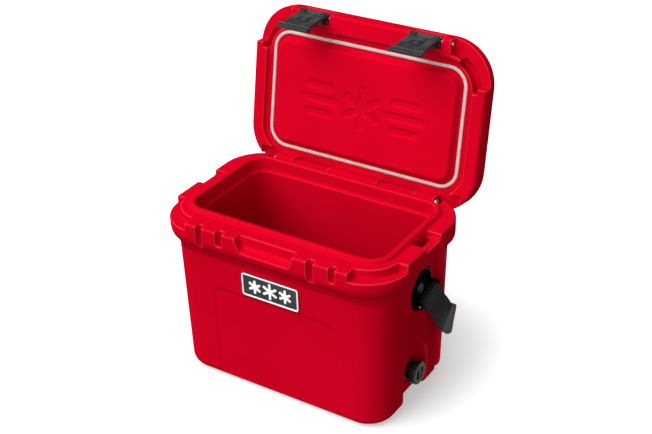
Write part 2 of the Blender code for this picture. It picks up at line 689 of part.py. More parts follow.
def build_latch(side):
    centre = Vector((side * LATCH_X, LATCH_ROD_Y, LATCH_ROD_Z))
    name = side_name(side)
    latch = finish(f"latch_{name}", prism(latch_profile(), -LATCH_HALF, LATCH_HALF), BLACK)
    lugs = mirrored_x(box((0.0155, -0.0110, -0.0210), (0.0240, 0.0035, -0.0020)))
    boolean(latch, hung_tool(f"lugs_{name}", lugs, latch), "UNION")
    cuts = {
        "window": box((-0.0115, -0.03, -0.0395), (0.0115, 0.01, -0.0165)),
        "rod_gap": box((-0.010, -0.0035, -0.012), (0.010, 0.012, 0.012)),
        "waist": mirrored_x(box((0.0262, -0.03, -0.0620), (0.04, 0.02, 0.0200))),
        "vent": join(*[rod((x, -0.03, z), (0, 1, 0), 0.05, 0.0014, 10) for x, z in LATCH_VENTS]),
        "bore": rod((-0.05, 0, 0), (1, 0, 0), 0.1, ROD_R + GAP),
    }
    for label, shape in cuts.items():
        boolean(latch, hung_tool(f"{label}_{name}", shape, latch))
    latch.location = centre
    latch.rotation_euler = (LATCH_DROOP, 0, 0)

    inner_end, outer_end = side * 0.0645, side * 0.1525
    pin = rod((inner_end, centre.y, centre.z), (side, 0, 0), abs(outer_end - inner_end), ROD_R)
    rod_piece = finish(f"latch_rod_{name}", pin, STEEL, origin=centre)
    return [latch, rod_piece]


# ---------------------------------------------------------------- handle
def strap_route():
    """Centre points and width directions of the right half of the strap, hub to middle."""
    down = BAR_DIR.cross(Vector((1, 0, 0))).normalized()
    if down.z > 0:
        down = -down
    along = (Vector((0.62, 0, 0)) + 0.78 * down).normalized()
    outward = BAR_DIR.cross(along).normalized()
    if outward.x < 0:
        outward = -outward
    wrap = BAR_R + 0.0006 + STRAP_T / 2
    points, widths = [], []
    lead = BAR_AT + wrap * outward
    for reach in (0.021, 0.013):
        points.append(lead + reach * along - 0.0037 * outward - (0.021 - reach) * 0.15 * outward)
    for step in range(7):
        turn = math.radians(180 + 30 * step)
        points.append(BAR_AT + wrap * (math.cos(turn) * outward + math.sin(turn) * along))
    widths = [BAR_DIR] * len(points)
    free_run = (
        ((0.2195, 0.0120, 0.1835), (0.00, 0.958, 0.287)),
        ((0.2290, 0.0160, 0.1680), (0.00, 0.93, 0.36)),
        ((0.2338, 0.0195, 0.1545), (-0.01, 0.91, 0.41)),
        ((0.2335, 0.0275, 0.1475), (-0.04, 0.87, 0.50)),
        ((0.2275, 0.0400, 0.1385), (-0.06, 0.78, 0.62)),
        ((0.2205, 0.0560, 0.1250), (-0.06, 0.66, 0.75)),
        ((0.2135, 0.0780, 0.1065), (-0.04, 0.50, 0.86)),
        ((0.2070, 0.1020, 0.0910), (0.00, 0.40, 0.92)),
        ((0.1950, 0.1240, 0.0780), (0.00, 0.25, 0.97)),
        ((0.1720, 0.1365, 0.0690), (0.00, 0.12, 0.99)),
        ((0.1350, 0.1400, 0.0612), (0.00, 0.04, 1.00)),
        ((0.0900, 0.1400, 0.0592), (0.00, 0.00, 1.00)),
        ((0.0300, 0.1400, 0.0588), (0.00, 0.00, 1.00)),
        ((0.0000, 0.1400, 0.0588), (0.00, 0.00, 1.00)),
    )
    for place, width in free_run:
        points.append(Vector(place))
        widths.append(Vector(width).normalized())
    return points, widths


def smooth_between(values, index, part):
    """Catmull-Rom between values[index] and values[index + 1]."""
    last = len(values) - 1
    a, b, c, d = (values[min(max(index + k, 0), last)] for k in (-1, 0, 1, 2))
    return 0.5 * (
        2 * b + (c - a) * part + (2 * a - 5 * b + 4 * c - d) * part**2 + (3 * b - a - 3 * c + d) * part**3
    )


def strap_half(first_free, steps=2):
    """Denser points and widths along the right half, ending at x = 0."""
    points, widths = strap_route()
    fine_points, fine_widths = points[:first_free], widths[:first_free]
    for index in range(first_free, len(points) - 1):
        for step in range(steps):
            fine_points.append(smooth_between(points, index, step / steps))
            fine_widths.append(smooth_between(widths, index, step / steps).normalized())
    fine_points.append(points[-1])
    fine_widths.append(widths[-1])
    return fine_points, fine_widths


def ribbon(points, widths, width, thickness):
    rings = []
    for index, (point, across) in enumerate(zip(points, widths)):
        before, after = points[max(index - 1, 0)], points[min(index + 1, len(points) - 1)]
        travel = (after - before).normalized()
        across = (across - travel * across.dot(travel)).normalized()
        through = travel.cross(across)
        corners = ((-1, -1), (1, -1), (1, 1), (-1, 1))
        rings.append(
            [point + across * (a * width / 2) + through * (b * thickness / 2) for a, b in corners]
        )
    return loft(rings)


def build_strap():
    points, widths = strap_half(first_free=9)
    flip = Matrix.Scale(-1, 4, (1, 0, 0))
    left_points = [flip @ point for point in points[:-1]]
    left_widths = [flip @ width for width in widths[:-1]]
    points = points + left_points[::-1]
    widths = widths + left_widths[::-1]
    finish("carry_strap", ribbon(points, widths, STRAP_W, STRAP_T), WEBBING)

    def sleeve(x, grow):
        level, middle = 0.0588, 0.1400
        half_z, half_y = STRAP_W / 2 + 0.0065 - grow, 0.0075 - grow
        round_off = min(half_y, 0.0065) * 0.92
        points_2d = []
        for right, up, start in ((1, 1, 0), (-1, 1, 90), (-1, -1, 180), (1, -1, 270)):
            centre = (middle + right * (half_y - round_off), level + up * (half_z - round_off))
            points_2d += arc(centre, round_off, start, start + 90, 3)
        return [Vector((x, y, z)) for y, z in points_2d]

    end, hollow = 0.062, 0.0075 - STRAP_T / 2 - 0.0008
    rings = [sleeve(-end, 0.001), sleeve(-end + 0.004, 0.0), sleeve(end - 0.004, 0.0), sleeve(end, 0.001)]
    rings += [sleeve(end, hollow * 0.98), sleeve(-end, hollow * 0.98)]
    grip = finish("strap_grip", loft(rings, closed=True), RUBBER)
    return grip


def build_hub(side):
    name = side_name(side)
    centre = Vector((0, HUB_Y, HUB_Z))
    flat = Matrix.Scale(side, 4, (1, 0, 0))

    def place(bm):
        if side < 0:
            bmesh.ops.transform(bm, matrix=flat, verts=bm.verts)
            bmesh.ops.reverse_faces(bm, faces=bm.faces)
        return bm

    dish = (
        (HUB_FLOOR + 0.0006, HUB_R - 0.002),
        (HUB_FLOOR + 0.0026, HUB_R),
        (HUB_FACE - 0.001, HUB_R),
        (HUB_FACE, HUB_R - 0.001),
        (HUB_FACE, HUB_R - 0.0045),
        (HUB_FACE - 0.0055, HUB_R - 0.0065),
        (HUB_FACE - 0.0055, 0.0125),
        (HUB_FACE - 0.002, 0.0115),
        (HUB_FACE - 0.002, 0.0092),
        (HUB_FACE - 0.0055, 0.0092),
        (HUB_FACE - 0.0055, 0.0045),
        (HUB_FLOOR + 0.0006, 0.0045),
    )
    hub = finish(
        f"handle_hub_{name}", place(loft(turned(dish, centre, (1, 0, 0), 28), closed=True)), BLACK
    )
    ribs = []
    for turn in range(5):
        angle = math.radians(42 + 24 * turn)
        rib = box((HUB_FACE - 0.0075, -0.0009, 0.0118), (HUB_FACE - 0.0022, 0.0009, HUB_R - 0.0052))
        spin = Matrix.Translation(centre) @ Matrix.Rotation(angle - math.pi / 2, 4, "X")
        bmesh.ops.transform(rib, matrix=spin, verts=rib.verts)
        ribs.append(rib)
    boolean(hub, tool(f"hub_ribs_{name}", place(join(*ribs))), "UNION")

    ears = []
    reach = STRAP_W / 2 + 0.0042
    for end in (-1, 1):
        at = BAR_AT + BAR_DIR * (end * reach)
        ear = turned(((-0.0025, 0.0062), (0.0025, 0.0062)), at, BAR_DIR, 15)
        ears.append(loft(ear))
        foot = box((HUB_FACE - 0.009, -0.0055, -0.0020), (BAR_AT.x + 0.001, 0.0055, 0.0020))
        basis = Matrix((Vector((1, 0, 0)), BAR_DIR.cross(Vector((1, 0, 0))), BAR_DIR)).transposed()
        move = Matrix.Translation(Vector((0, at.y, at.z))) @ basis.to_4x4()
        bmesh.ops.transform(foot, matrix=move, verts=foot.verts)
        boolean(hub, tool(f"hub_foot_{name}_{end}", place(foot)), "UNION")
    for index, ear in enumerate(ears):
        boolean(hub, tool(f"hub_ear_{name}_{index}", place(ear)), "UNION")
    hole = rod(BAR_AT - BAR_DIR * 0.05, BAR_DIR, 0.1, BAR_R + 0.0003, 14)
    boolean(hub, tool(f"hub_bar_hole_{name}", place(hole)))

    half = reach + 0.0018
    bar = place(rod(BAR_AT - BAR_DIR * half, BAR_DIR, 2 * half, BAR_R, 14))
    strap_bar = finish(f"strap_bar_{name}", bar, STEEL)

    head = (
        (HUB_FLOOR - 0.0049, 0.0036),
        (HUB_FACE - 0.0051, 0.0036),
        (HUB_FACE - 0.0051, 0.0084),
        (HUB_FACE - 0.0030, 0.0084),
        (HUB_FACE - 0.0012, 0.0062),
        (HUB_FACE - 0.0012, 0.0024),
        (HUB_FACE - 0.0032, 0.0024),
    )
    finish(f"pivot_screw_{name}", place(loft(turned(head, centre, (1, 0, 0), 16))), DARK_STEEL)
    insert = tube((HUB_FLOOR - 0.0051, HUB_Y, HUB_Z), (1, 0, 0), 0.0049, 0.006, 0.0040, 16)
    finish(f"pivot_insert_{name}", place(insert), BRASS)
    return [hub, strap_bar]


# ---------------------------------------------------------------- drain
def build_drain():
    start = Vector((0, DRAIN_Y, DRAIN_Z))
    inner = 0.0098
    bushing = (
        (0.1625, DRAIN_BORE),
        (DRAIN_WALL + GAP, DRAIN_BORE),
        (DRAIN_WALL + GAP, 0.0175),
        (DRAIN_WALL + 0.0026, 0.0170),
        (DRAIN_WALL + 0.0032, 0.0160),
        (DRAIN_WALL + 0.0032, inner),
        (0.1625, inner),
    )
    finish("drain_bushing", loft(turned(bushing, start, (1, 0, 0)), closed=True), BLACK)
    lug_nut = tube((0.1590, DRAIN_Y, DRAIN_Z), (1, 0, 0), 0.0032, 0.0115, inner)
    finish("drain_strainer_ring", lug_nut, BLACK)
    seal = tube((DRAIN_WALL + 0.0036, DRAIN_Y, DRAIN_Z), (1, 0, 0), 0.0026, 0.0140, 0.0098)
    finish("drain_seal", seal, RUBBER, origin=start)
    knob = (
        (DRAIN_WALL - 0.011, 0.0070),
        (DRAIN_WALL - 0.009, 0.0092),
        (DRAIN_WALL + 0.0066, 0.0092),
        (DRAIN_WALL + 0.0066, 0.0155),
        (DRAIN_WALL + 0.0115, 0.0165),
        (DRAIN_WALL + 0.0130, 0.0195),
        (DRAIN_WALL + 0.0245, 0.0200),
        (DRAIN_WALL + 0.0265, 0.0185),
        (DRAIN_WALL + 0.0265, 0.0110),
        (DRAIN_WALL + 0.0245, 0.0100),
    )
    plug = finish("drain_plug", loft(turned(knob, start, (1, 0, 0), 27)), BLACK, origin=start)
    grooves = []
    for step in range(9):
        turn = math.radians(40 * step)
        at = start + Vector((DRAIN_WALL + 0.012, 0.0218 * math.cos(turn), 0.0218 * math.sin(turn)))
        grooves.append(rod(at, (1, 0, 0), 0.03, 0.0034, 8))
    boolean(plug, tool("knob_flutes", join(*grooves)))


# ---------------------------------------------------------------- assembly
build_tub()
build_badge()
build_hinge_rod()
lid_pieces, lid_tools = build_lid()
latch_pieces = build_latch(-1) + build_latch(1)
swing_open(lid_pieces + lid_tools + latch_pieces)
build_hub(-1)
build_hub(1)
build_strap()
build_drain()
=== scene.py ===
"""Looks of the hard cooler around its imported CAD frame: metres, +Z up, front towards -Y."""

import json
import math

import bmesh
import bpy
from mathutils import Matrix, Vector


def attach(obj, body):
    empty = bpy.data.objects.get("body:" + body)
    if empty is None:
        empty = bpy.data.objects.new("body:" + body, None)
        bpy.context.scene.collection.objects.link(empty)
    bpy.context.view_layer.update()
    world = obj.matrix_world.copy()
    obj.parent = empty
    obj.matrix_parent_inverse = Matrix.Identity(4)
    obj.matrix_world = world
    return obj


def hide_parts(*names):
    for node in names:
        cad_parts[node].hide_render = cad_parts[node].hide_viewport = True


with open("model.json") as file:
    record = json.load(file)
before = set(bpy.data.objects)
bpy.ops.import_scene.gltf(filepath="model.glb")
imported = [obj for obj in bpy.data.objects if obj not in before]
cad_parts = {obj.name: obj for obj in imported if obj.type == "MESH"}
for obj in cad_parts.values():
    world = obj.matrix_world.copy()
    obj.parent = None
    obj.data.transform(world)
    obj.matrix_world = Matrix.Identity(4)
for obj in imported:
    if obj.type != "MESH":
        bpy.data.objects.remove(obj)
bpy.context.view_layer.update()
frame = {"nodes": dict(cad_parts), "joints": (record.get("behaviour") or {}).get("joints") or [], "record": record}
RECORD = frame["record"]
JOINTS = {joint["name"]: joint for joint in frame["joints"]}

# ---------------------------------------------------------------- shared sizes
CORNER_STEPS = 18
LIP_Z = 0.306
LAND_Z = LIP_Z - 0.006
LEDGE_Z = LIP_Z - 0.019
COLLAR_X, COLLAR_FRONT, COLLAR_REAR, COLLAR_R = 0.2195, -0.148, 0.133, 0.073
WALL_X, WALL_FRONT, WALL_REAR, WALL_R = 0.202, -0.132, 0.122, 0.048
BASE_X, BASE_FRONT, BASE_REAR, BASE_FILLET = 0.197, -0.1277, 0.114, 0.016
WALL_TOP = 0.256
MOUTH_X, MOUTH_Y, MOUTH_R = 0.180, 0.09925, 0.028
RING_X, RING_Y, RING_R = 0.192, 0.111, 0.042
SHELF_Z = LIP_Z - 0.024
FLOOR_X, FLOOR_Y, FLOOR_Z = 0.164, 0.086, 0.036
LID_OPEN = math.radians(JOINTS["lid_hinge"]["range_deg"][1])
HINGE_Y, HINGE_Z = JOINTS["lid_hinge"]["pos_m"][1:]
LID_FRONT, LID_REAR, LID_R = -0.146, 0.145, 0.075
LID_UNDER = LAND_Z + 0.0006
LID_ROOF = LIP_Z + 0.0025
LID_TOP = 0.344
CORNER_ROOF = LIP_Z + 0.013
CORNER_X, CORNER_Y = 0.152, -0.079
CORNER_KEEP = (0.2025, 0.1265, 0.054)
LID_CORNER_X = 0.151
PLUG_BOTTOM = LIP_Z - 0.008
ROD_R = 0.003
KNUCKLE_R = 0.0105
CENTRE_KNUCKLE = 0.049
SIDE_KNUCKLE = (0.119, 0.157)
LATCH_X, LATCH_HALF = 0.105, 0.030
LATCH_ROD_Y, LATCH_ROD_Z = -0.138, LIP_Z + 0.002
LATCH_DROOP = math.radians(19.0)
LATCH_VENTS = ((0.008, -0.0450), (0.017, -0.0560))
PIN_ENDS = (0.0645, 0.1525)
TALL_SLOT, SHORT_SLOT = LIP_Z - 0.043, LIP_Z - 0.030
SLOTS = (
    (-0.131, -0.119, TALL_SLOT),
    (-0.092, -0.079, SHORT_SLOT),
    (0.079, 0.092, TALL_SLOT),
    (0.119, 0.131, SHORT_SLOT),
)
HUB_Y, HUB_Z, HUB_R = 0.004, 0.206, 0.0365
HUB_FLOOR, HUB_FACE = 0.185, 0.1985
STRAP_W, STRAP_T = 0.048, 0.0028
BAR_R = 0.003
BAR_AT = Vector((0.208, 0.009, 0.195))
BAR_DIR = Vector((0.0, 0.958, 0.287)).normalized()
DRAIN_Y, DRAIN_Z, DRAIN_WALL, DRAIN_BORE = -0.008, 0.048, 0.178, 0.0125

COLLECTION = bpy.context.scene.collection


# ---------------------------------------------------------------- materials
class Shader:
    """A node material, built one node at a time."""

    def __init__(self, name, colour, roughness, metallic=0.0, specular=0.5):
        self.material = bpy.data.materials.new(name)
        self.material.use_nodes = True
        self.tree = self.material.node_tree
        self.bsdf = self.tree.nodes["Principled BSDF"]
        self.set("Base Color", (*colour, 1.0))
        self.set("Roughness", roughness)
        self.set("Metallic", metallic)
        self.set("Specular IOR Level", specular)
        self.coordinates = self.node("ShaderNodeTexCoord").outputs["Object"]
        self.height = None

    def set(self, socket, value):
        self.bsdf.inputs[socket].default_value = value

    def node(self, kind, **inputs):
        made = self.tree.nodes.new(kind)
        for key, value in inputs.items():
            if isinstance(value, bpy.types.NodeSocket):
                self.tree.links.new(value, made.inputs[key])
            else:
                made.inputs[key].default_value = value
        return made

    def link(self, source, socket):
        self.tree.links.new(source, self.bsdf.inputs[socket])

    def noise(self, scale, detail=2.0, rough=0.5, vector=None):
        made = self.node("ShaderNodeTexNoise", Scale=scale, Detail=detail, Roughness=rough)
        self.tree.links.new(vector or self.coordinates, made.inputs["Vector"])
        return made.outputs["Fac"]

    def range(self, value, low_in, high_in, low_out, high_out):
        made = self.node("ShaderNodeMapRange")
        self.tree.links.new(value, made.inputs["Value"])
        ends = {"From Min": low_in, "From Max": high_in, "To Min": low_out, "To Max": high_out}
        for key, number in ends.items():
            made.inputs[key].default_value = number
        return made.outputs["Result"]

    def mix(self, factor, first, second):
        made = self.tree.nodes.new("ShaderNodeMix")
        made.data_type = "RGBA"
        sockets = (made.inputs["Factor"], made.inputs[6], made.inputs[7])
        for socket, value in zip(sockets, (factor, first, second)):
            if isinstance(value, bpy.types.NodeSocket):
                self.tree.links.new(value, socket)
            else:
                socket.default_value = value if socket is sockets[0] else (*value, 1.0)
        return made.outputs[2]

    def maths(self, operation, first, second=0.0):
        made = self.tree.nodes.new("ShaderNodeMath")
        made.operation = operation
        for socket, value in zip(made.inputs, (first, second)):
            if isinstance(value, bpy.types.NodeSocket):
                self.tree.links.new(value, socket)
            else:
                socket.default_value = value
        return made.outputs[0]

    def bump(self, height, strength, distance):
        made = self.tree.nodes.new("ShaderNodeBump")
        made.inputs["Strength"].default_value = strength
        made.inputs["Distance"].default_value = distance
        self.tree.links.new(height, made.inputs["Height"])
        if self.height is not None:
            self.tree.links.new(self.height, made.inputs["Normal"])
        self.height = made.outputs["Normal"]
        self.tree.links.new(self.height, self.bsdf.inputs["Normal"])


def polyethylene():
    """Rotomoulded skin: even colour, a satin fine grain and a faint slow ripple, with convex edges lightened by a
    painted highlight.
    """
    made = Shader("red_polyethylene", (0.48, 0.0005, 0.0115), 0.36, specular=0.0)
    slow = made.noise(9.0, 2.0)
    colour = made.mix(made.range(slow, 0.3, 0.7, 0.0, 1.0), (0.465, 0.0005, 0.0110), (0.495, 0.0008, 0.0135))
    # painted highlight: convex edges, picked out by pointiness, are lightened towards a pale pink
    edges = made.range(made.node("ShaderNodeNewGeometry").outputs["Pointiness"], 0.518, 0.60, 0.0, 0.36)
    made.link(made.mix(edges, colour, (0.95, 0.16, 0.20)), "Base Color")
    grain = made.noise(1500.0, 2.0, 0.6)
    made.link(made.range(grain, 0.3, 0.7, 0.32, 0.44), "Roughness")
    made.bump(made.noise(55.0, 1.0), 0.10, 0.0006)
    made.bump(grain, 0.16, 0.00018)
    return made.material


def moulded(name, dark, light, rough, grain_scale=1200.0, specular=0.45):
    """Moulded nylon or rubber with a fine spark-eroded grain."""
    made = Shader(name, light, rough, specular=specular)
    slow = made.noise(60.0, 3.0)
    made.link(made.mix(made.range(slow, 0.35, 0.65, 0.0, 1.0), dark, light), "Base Color")
    grain = made.noise(grain_scale, 2.0, 0.6)
    made.link(made.range(grain, 0.3, 0.7, rough - 0.07, rough + 0.08), "Roughness")
    made.bump(grain, 0.25, 0.0002)
    return made.material


def steel(name, colour, rough):
    made = Shader(name, colour, rough, metallic=1.0)
    fine = made.noise(900.0, 3.0)
    made.link(made.range(fine, 0.3, 0.7, rough - 0.06, rough + 0.1), "Roughness")
    made.bump(fine, 0.08, 0.0001)
    return made.material


def webbing():
    """Woven webbing: ribs across, warp lines along, from the strap's own length and width."""
    made = Shader("black_webbing", (0.006, 0.006, 0.007), 0.72, specular=0.12)
    made.set("Sheen Weight", 0.03)
    made.set("Sheen Roughness", 0.5)
    uv = made.tree.nodes.new("ShaderNodeUVMap")
    uv.uv_map = "weave"
    split = made.node("ShaderNodeSeparateXYZ", Vector=uv.outputs["UV"])
    along = made.maths("SINE", made.maths("MULTIPLY", split.outputs["X"], 2 * math.pi / 0.0016))
    across = made.maths("SINE", made.maths("MULTIPLY", split.outputs["Y"], 2 * math.pi / 0.0021))
    check = made.maths("MULTIPLY", along, across)
    weave = made.maths("ADD", made.maths("MULTIPLY", check, 0.5), made.maths("MULTIPLY", along, 0.35))
    shade = made.range(weave, -0.8, 0.8, 0.0, 1.0)
    made.link(made.mix(shade, (0.0035, 0.0035, 0.004), (0.0125, 0.0125, 0.0135)), "Base Color")
    made.bump(weave, 0.7, 0.00035)
    made.bump(made.noise(2500.0, 2.0), 0.3, 0.0001)
    return made.material


RED = polyethylene()
HUB_NYLON = moulded("hub_nylon", (0.0008, 0.0008, 0.0009), (0.0018, 0.0018, 0.0020), 0.6, specular=0.03)
NYLON = moulded("black_nylon", (0.005, 0.005, 0.0055), (0.010, 0.010, 0.0105), 0.42, specular=0.30)
LATCH = moulded("latch_rubber", (0.0065, 0.0072, 0.0072), (0.0105, 0.0115, 0.0114), 0.52, specular=0.24)
RUBBER = moulded("black_rubber", (0.012, 0.012, 0.012), (0.022, 0.022, 0.022), 0.72)
SEAL = moulded("grey_gasket", (0.44, 0.38, 0.35), (0.52, 0.46, 0.43), 0.6)
WHITE = moulded("white_inlay", (0.80, 0.80, 0.80), (0.88, 0.88, 0.88), 0.4)
PLATE = moulded("black_plate", (0.010, 0.012, 0.0125), (0.015, 0.0175, 0.018), 0.34, specular=0.2)
FOAM = moulded("polyurethane_foam", (0.62, 0.52, 0.34), (0.74, 0.66, 0.48), 0.9, 400.0)
STEEL = steel("stainless_steel", (0.60, 0.60, 0.61), 0.28)
SCREW = steel("black_screw", (0.045, 0.045, 0.048), 0.42)
BRASS = steel("brass", (0.62, 0.44, 0.18), 0.35)
WEBBING = webbing()
THREAD = moulded("black_thread", (0.020, 0.020, 0.022), (0.040, 0.040, 0.044), 0.6, 3000.0)


# ---------------------------------------------------------------- mesh helpers
def make(name, bm, finish, body=None):
    bmesh.ops.recalc_face_normals(bm, faces=bm.faces)
    bmesh.ops.connect_verts_nonplanar(bm, angle_limit=0.0001, faces=bm.faces)
    mesh = bpy.data.meshes.new(name)
    bm.to_mesh(mesh)
    bm.free()
    mesh.materials.append(finish)
    made = bpy.data.objects.new(name, mesh)
    COLLECTION.objects.link(made)
    if body:
        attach(made, body)
    return made


def settled(obj):
    """obj with its modifiers baked into its mesh."""
    graph = bpy.context.evaluated_depsgraph_get()
    graph.update()
    mesh = bpy.data.meshes.new_from_object(obj.evaluated_get(graph), depsgraph=graph)
    obj.modifiers.clear()
    old = obj.data
    obj.data = mesh
    bpy.data.meshes.remove(old)
    return obj


def carve(obj, shapes, operation="DIFFERENCE"):
    """Cuts or adds bmesh shapes one after another, then removes the tools."""
    tools = []
    for index, shape in enumerate(shapes):
        cutter = make(f"{obj.name}_tool{index}", shape, RED)
        cutter.hide_render = True
        step = obj.modifiers.new("cut", "BOOLEAN")
        step.operation = operation
        step.object = cutter
        tools.append(cutter)
    settled(obj)
    for cutter in tools:
        bpy.data.objects.remove(cutter, do_unlink=True)
    return obj


def soften(obj, voxel, passes, keep=None):
    """Remeshes and relaxes a mesh so that its edges round off the way a moulding's do."""
    remesh = obj.modifiers.new("remesh", "REMESH")
    remesh.mode = "VOXEL"
    remesh.voxel_size = voxel
    smooth = obj.modifiers.new("smooth", "SMOOTH")
    smooth.factor = 0.5
    smooth.iterations = passes
    if keep:
        fewer = obj.modifiers.new("fewer", "DECIMATE")
        fewer.ratio = keep
    settled(obj)
    obj.data.shade_smooth()
    return obj


def bevelled(obj, width, segments=2, angle=30):
    step = obj.modifiers.new("bevel", "BEVEL")
    step.width = width
    step.segments = segments
    step.limit_method = "ANGLE"
    step.angle_limit = math.radians(angle)
    settled(obj)
    obj.data.shade_smooth()
    obj.data.set_sharp_from_angle(angle=math.radians(50))
    return obj


def ring(half_x, front, rear, radius, z, inset=0.0, steps=None):
    steps = steps or CORNER_STEPS
    half_x, front, rear = half_x - inset, front + inset, rear - inset
    radius = max(radius - inset, 0.004)
    points = []
    corners = (
        (half_x - radius, rear - radius),
        (radius - half_x, rear - radius),
        (radius - half_x, front + radius),
        (half_x - radius, front + radius),
    )
    for quarter, (x, y) in enumerate(corners):
        for step in range(steps + 1):
            turn = math.radians(90 * (quarter + step / steps))
            points.append(Vector((x + radius * math.cos(turn), y + radius * math.sin(turn), z)))
    return points


def loft(rings, closed=False):
    bm = bmesh.new()
    rows = [[bm.verts.new(point) for point in points] for points in rings]
    pairs = list(zip(rows, rows[1:]))
    if closed:
        pairs.append((rows[-1], rows[0]))
    for low, high in pairs:
        for here in range(len(low)):
            there = (here + 1) % len(low)
            bm.faces.new((low[here], low[there], high[there], high[here]))
    if not closed:
        bm.faces.new(reversed(rows[0]))
        bm.faces.new(rows[-1])
    return bm


def box(low, high):
    corners = [(x, y) for x, y in ((0, 0), (1, 0), (1, 1), (0, 1))]
    ends = (Vector(low), Vector(high))
    return loft([[Vector((ends[x].x, ends[y].y, end.z)) for x, y in corners] for end in ends])


def mirrored_x(bm):
    bmesh.ops.recalc_face_normals(bm, faces=bm.faces)
    copy = bmesh.ops.duplicate(bm, geom=bm.verts[:] + bm.edges[:] + bm.faces[:])["geom"]
    points = [item for item in copy if isinstance(item, bmesh.types.BMVert)]
    faces = [item for item in copy if isinstance(item, bmesh.types.BMFace)]
    bmesh.ops.scale(bm, vec=(-1.0, 1.0, 1.0), verts=points)
    bmesh.ops.reverse_faces(bm, faces=faces)
    return bm


def flipped(bm, side):
    """The shape for that side: mirrored in x when side is negative."""
    if side < 0:
        bmesh.ops.scale(bm, vec=(-1.0, 1.0, 1.0), verts=bm.verts)
        bmesh.ops.reverse_faces(bm, faces=bm.faces)
    return bm


def join(first, *others):
    for other in others:
        spare = bpy.data.meshes.new("spare")
        other.to_mesh(spare)
        other.free()
        first.from_mesh(spare)
        bpy.data.meshes.remove(spare)
    return first


def moved(bm, matrix):
    bmesh.ops.transform(bm, matrix=matrix, verts=bm.verts)
    return bm


def turned(profile, start, axis, steps=64):
    axis = Vector(axis).normalized()
    side = axis.orthogonal().normalized()
    up = axis.cross(side)
    rings = []
    for along, radius in profile:
        centre = Vector(start) + axis * along
        turns = [2 * math.pi * step / steps for step in range(steps)]
        rings.append([centre + radius * (side * math.cos(t) + up * math.sin(t)) for t in turns])
    return rings


def rod(start, axis, length, radius, steps=48):
    return loft(turned(((0, radius), (length, radius)), start, axis, steps))


def tube(start, axis, length, outer, inner, steps=48):
    profile = ((0, outer), (length, outer), (length, inner), (0, inner))
    return loft(turned(profile, start, axis, steps), closed=True)


def prism(outline, low, high, axis=0):
    rows = []
    for at in (low, high):
        rows.append([Vector((at, a, b)) if axis == 0 else Vector((a, at, b)) for a, b in outline])
    return loft(rows)


def slab(outline, low, high):
    """Extrudes a flat x, y outline between two heights."""
    return loft([[Vector((x, y, z)) for x, y in outline] for z in (low, high)])


def arc(centre, radius, start, end, steps):
    turns = [math.radians(start + (end - start) * step / steps) for step in range(steps + 1)]
    return [(centre[0] + radius * math.cos(t), centre[1] + radius * math.sin(t)) for t in turns]


def side_name(side):
    return "right" if side > 0 else "left"


def front_face(z):
    return BASE_FRONT + (WALL_FRONT - BASE_FRONT) * z / WALL_TOP


def swing():
    """Turns what is drawn closed about the hinge, into the open rest pose."""
    hinge = Vector((0, HINGE_Y, HINGE_Z))
    return Matrix.Translation(hinge) @ Matrix.Rotation(-LID_OPEN, 4, "X") @ Matrix.Translation(-hinge)


# ---------------------------------------------------------------- tub
def wall_ring(z, inset=0.0):
    part = z / WALL_TOP
    return ring(
        BASE_X + (WALL_X - BASE_X) * part,
        BASE_FRONT + (WALL_FRONT - BASE_FRONT) * part,
        BASE_REAR + (WALL_REAR - BASE_REAR) * part,
        WALL_R,
        z,
        inset,
    )


def inner_ring(z, outset=0.0):
    part = (z - FLOOR_Z) / (SHELF_Z - FLOOR_Z)
    half_x = FLOOR_X + (MOUTH_X - 0.006 - FLOOR_X) * part
    half_y = FLOOR_Y + (MOUTH_Y - 0.006 - FLOOR_Y) * part
    return ring(half_x, -half_y, half_y, MOUTH_R - 0.003, z, -outset)


def tub_solid():
    rings = []
    for step in range(7):
        turn = math.radians(15 * step)
        rings.append(wall_ring(BASE_FILLET * (1 - math.cos(turn)), BASE_FILLET * (1 - math.sin(turn))))
    rings += [wall_ring(0.120), wall_ring(0.240), ring(0.2025, -0.138, WALL_REAR, 0.050, WALL_TOP)]
    rings += [
        ring(0.213, -0.1435, 0.127, 0.062, 0.261),
        ring(0.2185, -0.1465, 0.132, 0.071, 0.267),
        ring(COLLAR_X, COLLAR_FRONT, COLLAR_REAR, COLLAR_R, 0.274),
        ring(COLLAR_X, COLLAR_FRONT, COLLAR_REAR, COLLAR_R, LAND_Z - 0.003),
        ring(COLLAR_X, COLLAR_FRONT, COLLAR_REAR, COLLAR_R, LAND_Z - 0.0009, 0.0009),
        ring(COLLAR_X, COLLAR_FRONT, COLLAR_REAR, COLLAR_R, LAND_Z, 0.003),
        ring(RING_X, -RING_Y, RING_Y, RING_R, LAND_Z),
        ring(RING_X - 0.002, 0.002 - RING_Y, RING_Y - 0.002, RING_R, LIP_Z - 0.0015),
        ring(RING_X - 0.0035, 0.0035 - RING_Y, RING_Y - 0.0035, RING_R - 0.0015, LIP_Z),
        ring(MOUTH_X + 0.0015, -MOUTH_Y - 0.0015, MOUTH_Y + 0.0015, MOUTH_R + 0.0015, LIP_Z),
        ring(MOUTH_X, -MOUTH_Y, MOUTH_Y, MOUTH_R, LIP_Z - 0.0015),
        ring(MOUTH_X - 0.0015, 0.0015 - MOUTH_Y, MOUTH_Y - 0.0015, MOUTH_R, SHELF_Z + 0.002),
        inner_ring(SHELF_Z),
        inner_ring(FLOOR_Z + 0.012),
        inner_ring(FLOOR_Z + 0.0035, -0.0035),
        inner_ring(FLOOR_Z, -0.012),
    ]
    return loft(rings)


def front_panel_cutter(depth=0.0018):
    half, top, radius = 0.116, 0.184, 0.016
    outline = arc((half - radius, top - radius), radius, 0, 90, 10)
    outline += arc((radius - half, top - radius), radius, 90, 180, 10)
    outline += [(-half, -0.01), (half, -0.01)]
    rows = []
    for proud in (-0.03, depth):
        rows.append([Vector((x, front_face(z) + proud, z)) for x, z in outline])
    return loft(rows)


